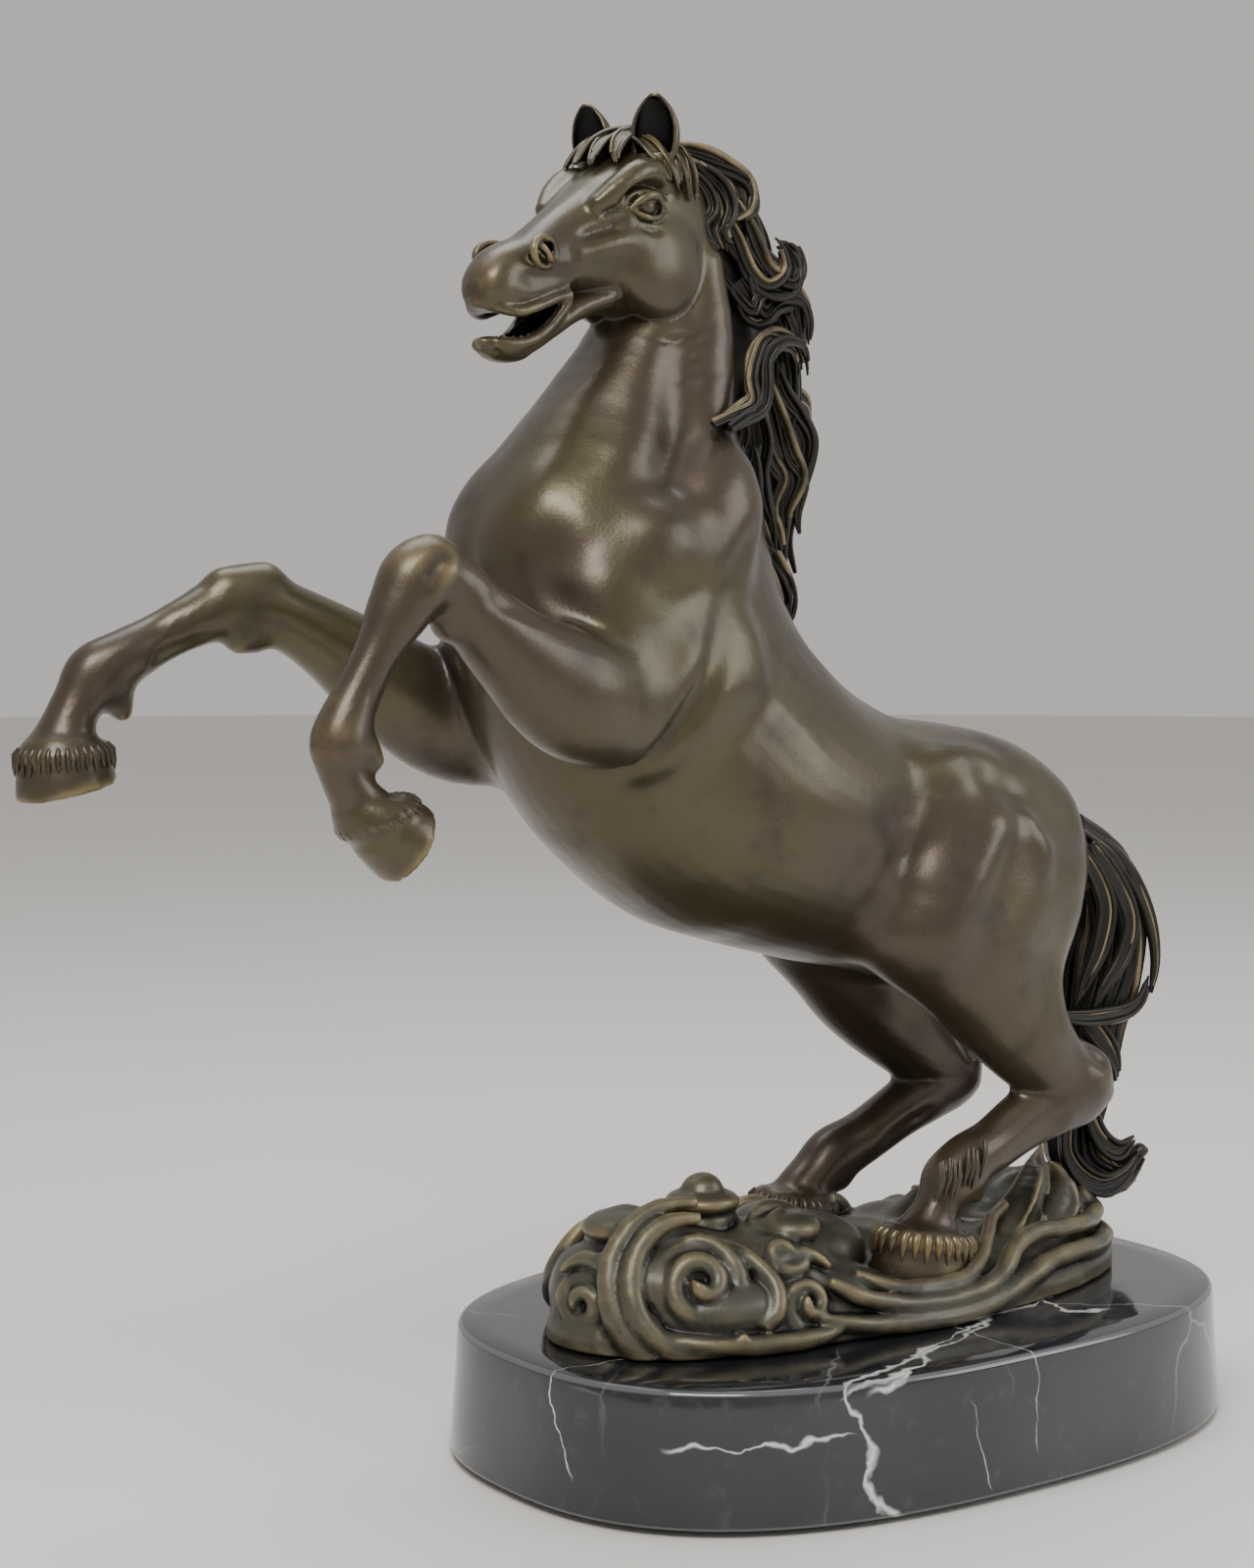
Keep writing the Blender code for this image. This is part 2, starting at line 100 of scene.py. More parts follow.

# %% [markdown]
# A limb or a trunk is a loft: rings set along a smooth line and skinned.  The line runs
# through a few given rows, so the rows stay readable and the curve does the rest.

# %% Lofts
def smooth_path(stations, steps=6):
    """A Catmull-Rom curve through the rows of stations, each row of any width."""
    s = np.array(stations, float)
    s = np.vstack([2 * s[0] - s[1], s, 2 * s[-1] - s[-2]])
    rows = []
    for a, b, c, d in zip(s, s[1:], s[2:], s[3:]):
        for t in np.arange(steps) / steps:
            rows.append(0.5 * (2 * b + (c - a) * t + (2 * a - 5 * b + 4 * c - d) * t ** 2
                               + (3 * b - a - 3 * c + d) * t ** 3))
    return np.array(rows + [s[-2]])


def unit(v):
    return v / np.maximum(np.linalg.norm(v, axis=-1, keepdims=True), 1e-9)


def loft(centres, ups, sides, count=40, egg=0.0, square=2.0):
    """A closed skin of rings; egg narrows the tops, and square above 2 fills the corners."""
    turn = np.arange(count) * 2 * math.pi / count
    high = np.sign(np.cos(turn)) * np.abs(np.cos(turn)) ** (2 / square)
    wide = np.sign(np.sin(turn)) * np.abs(np.sin(turn)) ** (2 / square)
    rise = high[None, :, None]
    swing = (wide[None, :] * (1 - np.reshape(egg, (-1, 1)) * high[None, :]))[..., None]
    points = centres[:, None] + ups[:, None] * rise + sides[:, None] * swing
    rings = len(points)
    points = np.vstack([points.reshape(-1, 3), points[0].mean(0), points[-1].mean(0)])
    i = np.arange(count)
    j = (i + 1) % count
    steps = range(rings - 1)
    faces = [(i + count * r, j + count * r, j + count * (r + 1)) for r in steps]
    faces += [(i + count * r, j + count * (r + 1), i + count * (r + 1)) for r in steps]
    faces.append((np.full(count, rings * count), j, i))
    last = count * (rings - 1)
    faces.append((np.full(count, rings * count + 1), i + last, j + last))
    return points, np.hstack([np.array(f) for f in faces]).T


def limb(stations, steps=6, count=40):
    """A loft along x, y, z with half depth and half width, its rings square to the line."""
    rows = smooth_path(stations, steps)
    along = unit(np.gradient(rows[:, :3], axis=0))
    side = unit(np.array([0, 1.0, 0]) - along * along[:, 1:2])
    up = np.cross(along, side)
    return loft(rows[:, :3], up * rows[:, 3:4], side * rows[:, 4:5], count)


def slices(stations, steps=6, count=48, square=2.0):
    """A loft between two outlines: x, z above, x, z below, half width, egg and centre y."""
    rows = smooth_path(stations, steps)
    zero = np.zeros(len(rows))
    y = rows[:, 6] if rows.shape[1] > 6 else zero
    top = np.stack([rows[:, 0], y, rows[:, 1]], 1)
    low = np.stack([rows[:, 2], y, rows[:, 3]], 1)
    side = np.stack([zero, rows[:, 4], zero], 1)
    return loft((top + low) / 2, (top - low) / 2, side, count, rows[:, 5], square)


# %% [markdown]
# Three shapes go on the grid: a closed mesh, an ellipsoid, and a chain of round beads
# that taper into one another.  Each can also be cut away, and each has a blend, the width
# in mm over which its join is rounded.

# %% Putting wax on
def put_mesh(wax, skin, blend=0.0, cut=False):
    """A closed mesh, given as its points and triangles."""
    points, faces = skin
    where, _ = wax.window(points, BAND)
    start = wax.first + [w.start for w in where]
    level = vdb.FloatGrid.createLevelSetFromPolygons(
        points.astype(np.float32), triangles=faces.astype(np.uint32),
        transform=vdb.createLinearTransform(voxelSize=wax.cell), halfWidth=BAND / wax.cell)
    d = np.full([w.stop - w.start for w in where], BAND, np.float32)
    level.copyToArray(d, ijk=tuple(int(v) for v in start))
    (wax.cut if cut else wax.add)(where, d, blend)


def put_ball(wax, centre, half_sizes, blend, tilt=0.0, cut=False):
    """An ellipsoid, tilted about Y by degrees; its distance is a close estimate."""
    r = max(half_sizes)
    where, (x, y, z) = wax.window([np.array(centre) - r, np.array(centre) + r], blend + 1)
    c, s = math.cos(math.radians(tilt)), math.sin(math.radians(tilt))
    x, y, z = x - centre[0], y - centre[1], z - centre[2]
    turned_x, turned_z = c * x - s * z, s * x + c * z
    a, b, g = half_sizes
    share = np.sqrt((turned_x / a) ** 2 + (y / b) ** 2 + (turned_z / g) ** 2)
    slope = np.sqrt((turned_x / a ** 2) ** 2 + (y / b ** 2) ** 2 + (turned_z / g ** 2) ** 2)
    d = np.clip(share * (share - 1) / np.maximum(slope, 1e-6), -BAND, BAND).astype(np.float32)
    (wax.cut if cut else wax.add)(where, d, blend)


def put_beads(wax, stations, blend, cut=False, steps=3):
    """A chain of round beads, x, y, z and radius, joined into one tapering rod."""
    rows = smooth_path(stations, steps)
    reach = rows[:, 3].max() + blend + 1
    where, (x, y, z) = wax.window(rows[:, :3], reach)
    d = None
    for a, b in zip(rows, rows[1:]):
        run = b[:3] - a[:3]
        t = ((x - a[0]) * run[0] + (y - a[1]) * run[1] + (z - a[2]) * run[2]) / max(run @ run, 1e-9)
        t = np.clip(t, 0, 1)
        gap = np.sqrt((x - a[0] - t * run[0]) ** 2 + (y - a[1] - t * run[1]) ** 2
                      + (z - a[2] - t * run[2]) ** 2) - (a[3] + t * (b[3] - a[3]))
        d = gap if d is None else np.minimum(d, gap)
    d = np.clip(d, -BAND, BAND).astype(np.float32)
    (wax.cut if cut else wax.add)(where, d, blend)


# %% [markdown]
# A stroke is the modelling tool drawn along a line: it raises the surface by a height, or
# presses it in, and fades out at both ends.  Since the grid holds distances, this is only
# a matter of adding a soft ridge to the numbers near the line.

# %% Tool marks
def stroke(wax, points, height, reach, fade=0.3, steps=5):
    """Raise, or below zero press in, the surface along a line through x, y, z points."""
    path = smooth_path(points, steps)
    where, (x, y, z) = wax.window(path, reach * 2.2)
    nearest = np.full(wax.d[where].shape, 1e6, np.float32)
    share = np.zeros_like(nearest)
    count = len(path) - 1
    for i, (a, b) in enumerate(zip(path, path[1:])):
        run = b - a
        t = ((x - a[0]) * run[0] + (y - a[1]) * run[1] + (z - a[2]) * run[2]) / max(run @ run, 1e-9)
        t = np.clip(t, 0, 1)
        gap = ((x - a[0] - t * run[0]) ** 2 + (y - a[1] - t * run[1]) ** 2
               + (z - a[2] - t * run[2]) ** 2)
        closer = gap < nearest
        nearest = np.where(closer, gap, nearest)
        share = np.where(closer, (i + t) / count, share)
    taper = np.ones_like(share)
    if fade > 0:
        taper = np.clip(np.minimum(share, 1 - share) / fade, 0, 1)
        taper = taper * taper * (3 - 2 * taper)
    wax.d[where] -= height * taper * np.exp(-nearest / reach ** 2)


def mirrored(rows):
    """The same rows on the other side of the body."""
    rows = np.array(rows, float)
    rows[..., 1] *= -1
    return rows


def hand_worked(wax, height, wavelength, seed):
    """The slight unevenness that fingers leave in wax: a few crossed slow waves."""
    dice = np.random.default_rng(seed)
    axes = [((np.arange(count) + first) * wax.cell).astype(np.float32)
            for count, first in zip(wax.size, wax.first)]
    x, y, z = np.meshgrid(*axes, indexing="ij", sparse=True)
    waves = 5
    total = 0
    for _ in range(waves):
        way = unit(dice.normal(size=3)) * 2 * math.pi / (wavelength * dice.uniform(0.7, 1.5))
        phase = dice.uniform(0, 6.3, 3)
        total = total + np.sin(x * way[0] + phase[0]) * np.sin(y * way[1] + z * way[2] + phase[1])
    wax.d += (total * height / waves).astype(np.float32)

# %% [markdown]
# ## Back to a mesh
#
# Each point of the finished mesh gets a number, `relief`, from how far it stands above its
# smoothed surroundings.  The patina uses it: hands and polishing wear the ridges to brass,
# and the pickling colour stays dark in the grooves.  Smoothing is the mean of a point's
# neighbours, taken a few times, and NumPy does it for all points at once.

# %% Smoothing, normals and relief
def neighbours_mean(values, edges, count):
    """The mean of each point's neighbours, column by column."""
    total = np.zeros_like(values)
    for k in range(values.shape[1]):
        total[:, k] = (np.bincount(edges[:, 0], values[edges[:, 1], k], count)
                       + np.bincount(edges[:, 1], values[edges[:, 0], k], count))
    share = np.bincount(edges.ravel(), minlength=count)
    return total / np.maximum(share, 1)[:, None]


def edges_of(faces):
    """Each edge once, as a pair of point numbers."""
    sides = faces.shape[1]
    pairs = np.vstack([faces[:, [a, (a + 1) % sides]] for a in range(sides)])
    return np.unique(np.sort(pairs, axis=1), axis=0)


def smoothed(points, edges, rounds, share=0.5):
    for _ in range(rounds):
        points = points + share * (neighbours_mean(points, edges, len(points)) - points)
    return points


def normals_of(points, faces):
    """Point normals, weighted by the area of the faces round each point."""
    across = np.cross(points[faces[:, 2]] - points[faces[:, 0]],
                      points[faces[:, -1]] - points[faces[:, 1]])
    total = np.zeros_like(points)
    for k in range(faces.shape[1]):
        for axis in range(3):
            total[:, axis] += np.bincount(faces[:, k], across[:, axis], len(points))
    return unit(total)


def relief_of(points, edges, normals, rounds, scale):
    """From -1 in a groove to 1 on a ridge."""
    away = points - smoothed(points, edges, rounds)
    height = np.einsum("ij,ij->i", away, normals)
    height = neighbours_mean(height[:, None], edges, len(points))[:, 0]
    return np.clip(height / scale, -1, 1)


# %% [markdown]
# OpenVDB lays quads on the zero surface of the grid, and a few smoothing rounds take out
# the last of its steps.

# %% From grid to piece
def surface_of(wax, rounds=2):
    """Points in mm and quads on the zero surface, facing out."""
    grid = vdb.FloatGrid(background=BAND)
    grid.copyFromArray(wax.d, ijk=tuple(int(v) for v in wax.first))
    grid.transform = vdb.createLinearTransform(voxelSize=wax.cell)
    points, quads = grid.convertToQuads(isovalue=0.0)
    points = points.astype(float)
    quads = quads.astype(np.int64)
    volume = np.einsum("ij,ij->i", points[quads[:, 0]],
                       np.cross(points[quads[:, 1]], points[quads[:, 2]])).sum()
    if volume < 0:
        quads = quads[:, ::-1]
    return smoothed(points, edges_of(quads), rounds), quads


def mesh_piece(name, points, faces, material, body_of, normals=None, attributes=None):
    """An object in metres that rides on the body and stands for its CAD nodes."""
    mesh = bpy.data.meshes.new(name)
    mesh.from_pydata((points * MM).tolist(), [], faces.tolist())
    mesh.shade_smooth()
    for key, values in (attributes or {}).items():
        layer = mesh.attributes.new(key, "FLOAT", "POINT")
        layer.data.foreach_set("value", np.ascontiguousarray(values, np.float32))
    if normals is not None:
        mesh.normals_split_custom_set_from_vertices(normals.tolist())
    mesh.materials.append(material)
    piece = bpy.data.objects.new(name, mesh)
    bpy.context.scene.collection.objects.link(piece)
    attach(piece, "root")
    if body_of:
        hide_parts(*body_of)
    print(f"{name}: {len(faces)} faces")
    return piece

# %% [markdown]
# ## Patina
#
# A material is a graph of nodes, and building one by script means making nodes, setting
# their inputs and linking them.  Four small helpers keep that short: one starts a material
# and hands back a function that adds nodes, and the others add a noise, a smooth step and
# a mix of two colours.

# %% Shader helpers
def graph(name):
    """A new material, its Principled shader, a function that adds nodes, and its links."""
    material = bpy.data.materials.new(name)
    material.use_nodes = True
    nodes = material.node_tree.nodes
    links = material.node_tree.links

    def add(kind, inputs=None, **settings):
        node = nodes.new(kind)
        for key, value in settings.items():
            setattr(node, key, value)
        for key, value in (inputs or {}).items():
            if isinstance(value, bpy.types.NodeSocket):
                links.new(value, node.inputs[key])
            else:
                node.inputs[key].default_value = value
        return node

    return material, nodes["Principled BSDF"], add, links


def noise(add, vector, scale, detail=3.0, roughness=0.55):
    """Cloudy noise from 0 to 1; scale is about how many lumps there are in a metre."""
    return add("ShaderNodeTexNoise", {"Vector": vector, "Scale": scale, "Detail": detail,
                                      "Roughness": roughness}).outputs["Fac"]


def ramp(add, factor, low, high, to_low=0.0, to_high=1.0):
    """A smooth step of factor from low to high."""
    return add("ShaderNodeMapRange", {0: factor, 1: low, 2: high, 3: to_low, 4: to_high},
               interpolation_type="SMOOTHSTEP").outputs[0]


def mix(add, factor, a, b):
    """Colour a where factor is 0, colour b where it is 1."""
    node = add("ShaderNodeMix", data_type="RGBA")
    for socket, value in (("Factor_Float", factor), ("A_Color", a), ("B_Color", b)):
        target = next(s for s in node.inputs if s.identifier == socket)
        if isinstance(value, bpy.types.NodeSocket):
            node.id_data.links.new(value, target)
        else:
            target.default_value = value
    return next(s for s in node.outputs if s.identifier == "Result_Color")


# %% [markdown]
# Cast bronze has a brown patina under wax, so it is half metal, half coloured film:
# Principled with a middling metallic value for the glint, a coat for the wax on top, and
# a base colour that noise shifts between brown and olive.  `relief` adds brass on the
# ridges and the dark patina in the grooves, and where it falls far below zero it paints
# shade, near black and without coat.  Object coordinates keep the pattern fixed to the
# statue, and two fine bumps give the satin grain of the casting.

# %% The patina
def bronze(name, brown, olive, brass, groove, rough, worn=(0.35, 1.0), coat=0.5):
    """worn is the relief where brass starts to show and where it is bare."""
    material, shader, add, links = graph(name)
    place = add("ShaderNodeTexCoord").outputs["Object"]
    relief = add("ShaderNodeAttribute", attribute_name="relief").outputs["Fac"]
    cloud = noise(add, place, 22.0)
    blotch = noise(add, place, 75.0, 4.0)
    speck = noise(add, place, 900.0, 2.0)
    colour = mix(add, ramp(add, cloud, 0.40, 0.62), brown, olive)
    colour = mix(add, ramp(add, blotch, 0.50, 0.72, 0.0, 0.45), colour, groove)
    colour = mix(add, ramp(add, relief, -0.75, -0.06, 1.0, 0.0), colour, groove)
    edge = add("ShaderNodeMath", {0: relief, 1: ramp(add, blotch, 0.3, 0.7, 0.65, 1.25)},
               operation="MULTIPLY").outputs[0]
    colour = mix(add, ramp(add, edge, worn[0], worn[1]), colour, brass)
    colour = mix(add, ramp(add, speck, 0.60, 0.78, 0.0, 0.3), colour, groove)
    # painted shade: where relief is far below zero the colour goes near black and the coat is taken off,
    # fully in the mouth, nostrils and ear hollows and partly in the deepest grooves
    free_of_painted_shade = ramp(add, relief, -1.3, -0.6)          # 0 deep inside the mouth and nostrils
    colour = mix(add, free_of_painted_shade, (0.002, 0.002, 0.002, 1), colour)
    links.new(colour, shader.inputs["Base Color"])
    links.new(add("ShaderNodeMath", {0: free_of_painted_shade, 1: coat}, operation="MULTIPLY").outputs[0],
              shader.inputs["Coat Weight"])
    links.new(ramp(add, blotch, 0.3, 0.75, rough, rough + 0.14), shader.inputs["Roughness"])
    grain = add("ShaderNodeBump", {"Height": noise(add, place, 1500.0, 2.0), "Strength": 0.10,
                                   "Distance": 0.0004})
    pits = add("ShaderNodeBump", {"Height": noise(add, place, 320.0, 3.0), "Strength": 0.10,
                                  "Distance": 0.0008, "Normal": grain.outputs[0]})
    links.new(pits.outputs[0], shader.inputs["Normal"])
    shader.inputs["Metallic"].default_value = 0.6
    shader.inputs["Coat Roughness"].default_value = 0.24
    return material


# %% [markdown]
# The statue has three finishes from this one recipe: the horse is brown and satin, the
# hair is pickled nearly black, and the clouds are greyer, with more brass on their edges.

# %% Three finishes
BRONZE = bronze("patinated_bronze", (0.068, 0.049, 0.031, 1), (0.078, 0.063, 0.030, 1),
                (0.20, 0.155, 0.070, 1), (0.017, 0.012, 0.011, 1), 0.32, coat=0.35)
HAIR_BRONZE = bronze("hair_bronze", (0.026, 0.023, 0.019, 1), (0.034, 0.030, 0.022, 1),
                     (0.26, 0.20, 0.11, 1), (0.005, 0.005, 0.005, 1), 0.40,
                     worn=(0.50, 1.15), coat=0.12)
CLOUD_BRONZE = bronze("cloud_bronze", (0.075, 0.073, 0.055, 1), (0.092, 0.085, 0.056, 1),
                      (0.27, 0.215, 0.115, 1), (0.006, 0.006, 0.005, 1), 0.40,
                      worn=(0.15, 1.2), coat=0.25)
for finish in (BRONZE, HAIR_BRONZE, CLOUD_BRONZE):
    print(f"{finish.name}: {len(finish.node_tree.nodes)} shader nodes")

# %% [markdown]
# ## The body
#
# The trunk is a loft between its top and bottom outlines, from the tail's root to the poll.
# A row is x and z above, x and z below, the half width, and how far the ring narrows to the
# top, like an egg.  The waist is slim and the chest is deep, which makes the horse rear.

# %% Trunk
TRUNK = (
    (75.5, 127, 67, 110, 5, 0.0), (70, 138.5, 52, 99, 12, 0.0), (57, 149, 34, 98, 20, 0.05),
    (43, 157, 17, 101, 24.5, 0.08), (26, 161, 1, 105, 25, 0.08), (11, 163, -17, 108.5, 27, 0.05),
    (-1, 167.5, -36, 113.5, 30, 0.05), (-11, 174, -56, 120, 31.5, 0.08),
    (-19, 182, -76, 134, 30, 0.10), (-24, 191, -91, 152, 28, 0.14), (-27, 202, -100, 173, 26, 0.18),
    (-30, 214, -102.5, 197, 22.5, 0.22), (-33, 227, -96, 214, 17.5, 0.25), (-36, 240, -85, 227, 12.2, 0.18),
    (-40, 252, -75, 236, 9.8, 0.10), (-44, 265, -67, 244, 8.8, 0.06), (-49, 277, -61, 251, 8.2, 0.0),
)
BODY_CELL = 0.83
body = Wax((-192, -44, 29), (88, 44, 290), BODY_CELL)
put_mesh(body, slices(TRUNK))
print("body grid:", body.size, "cells of", BODY_CELL, "mm")

# %% [markdown]
# Each leg is a loft along its bones, with rows of x, y, z, half depth and half width.  A
# row sits wherever the leg swells or thins: forearm, knee, cannon, fetlock and pastern in
# front, and thigh, gaskin, hock, cannon, fetlock and pastern behind.

# %% Legs
LEGS = {
    "left_foreleg": (
        (-70, -19, 168, 15, 10), (-91, -26, 170, 13.8, 10.5), (-101, -27, 174, 12, 10),
        (-110, -27.5, 180, 9.2, 8.5), (-118, -28, 186.5, 7.4, 7.0), (-124, -28, 192, 6.8, 6.6),
        (-130.5, -28, 194, 7.2, 6.6), (-135.5, -28, 187.5, 6.3, 5.9), (-140, -28, 180, 4.7, 4.5),
        (-144, -28, 173, 4.5, 4.3), (-147, -28, 167, 5.4, 5.1), (-148.5, -28, 162, 6.0, 5.6),
        (-148, -28, 157, 4.6, 4.6), (-145.5, -28, 152.5, 4.8, 5.2), (-143, -28, 149.5, 5.6, 6.0)),
    "right_foreleg": (
        (-66, 17, 164, 15, 10), (-90, 23, 163, 13.1, 10), (-105, 25, 171, 11.5, 9.4),
        (-118, 27, 180, 8.6, 8), (-127, 28, 185, 7.2, 6.8), (-135, 29, 188, 7.3, 6.8),
        (-142, 30, 188, 6.8, 6), (-150, 30, 185, 5.6, 4.9), (-157, 31, 181.5, 5.2, 4.6),
        (-164, 31, 178, 5.8, 5.2), (-170, 32, 174, 6.8, 5.8), (-174, 32, 169, 5.2, 5),
        (-176, 32, 165, 5.4, 5.4), (-177.3, 32, 160.5, 7.2, 6.6)),
    "left_hind_leg": (
        (24, -17, 133, 26, 13), (19, -20, 121, 24, 12.5), (17, -22, 111, 18.5, 11.5),
        (23, -22, 100, 12.9, 10), (34, -22, 89, 10.6, 8.4), (46, -22, 80, 9.8, 7.2),
        (52, -22, 76, 9.4, 6.9), (44, -22, 73, 8.2, 6.6), (34, -22, 69.5, 7.0, 5.8),
        (25, -22, 65, 6.3, 5.6), (17, -22, 62, 6.5, 6.2), (12, -22, 58, 6.8, 6.5),
        (8.8, -22, 53.6, 5.0, 5.2), (6.8, -22, 50.2, 5.8, 5.8),
        (5.4, -22, 46.5, 8.4, 7.6), (4.4, -22, 42, 9.8, 8.8)),
    "right_hind_leg": (
        (22, 17, 130, 26, 13), (14, 18, 117, 20, 12), (13, 18, 107, 15, 11), (21, 19, 96, 12.2, 10),
        (34, 20, 85.5, 10.4, 8.4), (46, 20, 77, 9.4, 7.4), (50, 20, 73.5, 8.8, 7),
        (43, 20, 70, 7.8, 6.6), (33, 20, 65.5, 6.8, 6), (22, 20, 60.5, 6.6, 6),
        (13, 20, 57, 7.2, 6.4), (7, 20, 53, 6, 6.2), (3.6, 20, 49.5, 6.8, 6.8),
        (2.2, 20, 46, 8.8, 7.8), (1.2, 20, 42, 9.6, 8.8)),
}
for name, stations in LEGS.items():
    put_mesh(body, limb(stations), 5.0)
    print(f"{name}: {len(stations)} rows")

# %% [markdown]
# ## Muscles
#
# Anatomy books name the shapes that show through a horse's skin, and each is here as a
# ball or a tapering chain of beads with a soft join: shoulder blade, triceps, the chest
# muscles, the long muscle down the side of the neck, ribs, hip bone, thigh and gaskin.
# Both sides of the horse get them.  Then strokes press in the hollows between them.

# %% Muscles
BALLS = (                      # centre, half sizes, blend and tilt about Y
    ((-60, -19, 198), (14, 10, 25), 6, 28),         # shoulder blade
    ((-66, -23.5, 172), (22, 9.5, 14), 6, -35),     # triceps
    ((-80, -20, 188), (14, 10.5, 17), 6, 20),       # point of the shoulder
    ((-88, -9.5, 202), (11.5, 10.5, 15), 5, 15),    # chest
    ((-86, -12, 186), (12, 11, 13), 5, 0),
    ((-72, -23.0, 201), (8.5, 7.0, 8), 7, 0),
    ((30, -14.5, 129), (26, 13.5, 22), 7, 20),      # thigh and rump
    ((10, -18, 151), (10, 7, 6), 6, 0),             # hip bone
    ((32, -11, 146), (22, 11, 11), 7, 18),
    ((2, -20, 117), (12, 9.5, 13), 9, -20),         # stifle
)
BEADS = (                      # blend, then x, y, z and radius along the muscle
    (8, (-60, -5.5, 244, 6), (-67, -7, 231, 8), (-76, -10.5, 216, 10), (-84, -12.5, 204, 9.5)),
    (8, (-47, -6, 260, 4.5), (-48, -8, 244, 6.5), (-52, -10, 224, 8), (-52, -13.5, 208, 9.5)),
    (9, (18, -18, 140, 10), (9, -21, 128, 9), (2, -22, 116, 7)),
    (9, (44, -12, 134, 11), (42, -16, 118, 10), (37, -20, 102, 8), (36, -22, 92, 6)),
    (8, (30, -17, 132, 11), (26, -20, 118, 10), (25, -21, 104, 8)),
)
for centre, half_sizes, blend, tilt in BALLS:
    for side in (1, -1):
        put_ball(body, (centre[0], side * centre[1], centre[2]), half_sizes, blend, tilt)
for blend, *rows in BEADS:
    put_beads(body, rows, blend)
    put_beads(body, mirrored(rows), blend)
print(len(BALLS), "rounded muscles and", len(BEADS), "long ones on each side")

# %% [markdown]
# Knees, hocks and fetlocks are bone under thin skin, so their points get only a narrow
# blend and show as knuckles.  The hooves are short lofts from the coronet to the sole.

# %% Bony points and hooves
BONY_POINTS = (                # blend, then x, y, z and radius
    (2.5, (-129, -31.5, 194.5, 3.6), (-131, -31.5, 191, 3.4)),
    (3, (-124.5, -28, 184.5, 3.2), (-122, -28, 187, 2.6)),
    (3, (-128, -28, 197, 4.4), (-133.5, -28, 193.5, 4.0)),
    (2.5, (-143.5, -28, 161, 3.6), (-141.5, -28, 159, 2.4)),
    (2.5, (-136, 33, 188, 4.2), (-141, 33, 188, 4.0)),
    (3, (-139, 29, 181.5, 3.4), (-136, 29, 181, 2.6)),
    (3, (-134, 29, 193, 4.6), (-142, 29.5, 192, 4.0)),
    (2.5, (-166, 32, 170.5, 3.8), (-164.5, 32, 167, 2.2)),
    (3, (55, -22, 79, 5.2), (57.5, -22, 75, 4.4)),
    (3, (52, -24, 77.5, 5.0), (44, -24.5, 73.5, 4.0)),
    (2.5, (17, -22, 57.5, 4.4), (19.5, -22, 55, 2.8)),
    (3, (53, 20, 76, 4.6), (54.5, 20, 72, 4.0)),
    (2.5, (13, 20, 52.5, 4.2), (15.5, 20, 51, 2.4)),
)
HOOVES = {                     # front x and z, back x and z, half width, egg, y
    "left_foreleg": (
        (-149.2, 148.6, -135.6, 153.0, 6.6, 0, -28), (-147.9, 145.2, -133.2, 151.8, 7.6, 0, -28),
        (-142.6, 139.2, -130.8, 150.6, 8.3, 0, -28), (-138.0, 134.9, -129.6, 149.6, 8.8, 0, -28)),
    "right_foreleg": (
        (-185.6, 161.6, -168.4, 161.4, 7.4, 0, 32), (-186.8, 158.0, -167.6, 159.2, 8.4, 0, 32),
        (-187.0, 153.2, -167.0, 156.2, 9.0, 0, 32), (-187.0, 148.8, -166.6, 153.2, 9.5, 0, 32)),
    "left_hind_leg": (
        (-5.2, 51.0, 15.6, 46.6, 8.0, 0, -22), (-7.4, 48.2, 16.6, 44.0, 9.4, 0, -22),
        (-8.8, 41.0, 16.0, 38.0, 10.2, 0, -22), (-9.4, 31.5, 15.4, 31.5, 10.8, 0, -22)),
    "right_hind_leg": (
        (-7.5, 52.5, 11.5, 47.5, 7.8, 0, 20), (-9.4, 49.5, 11.5, 45.0, 9.0, 0, 20),
        (-11.0, 42.0, 11.5, 40.0, 10.0, 0, 20), (-11.5, 34.0, 11.5, 34.0, 10.6, 0, 20)),
}
for blend, *rows in BONY_POINTS:
    put_beads(body, rows, blend)
for hoof in HOOVES.values():
    put_mesh(body, slices(hoof, 4), 2.0)
print(len(BONY_POINTS), "bony points and", len(HOOVES), "hooves")

# %% [markdown]
# Then the tool marks on both sides of the trunk: the hollow behind the shoulder, the line
# where the forearm leaves the chest, the jugular groove, the flank, and ridges along the
# ribs, the hip and the thigh.  A height below zero presses in.

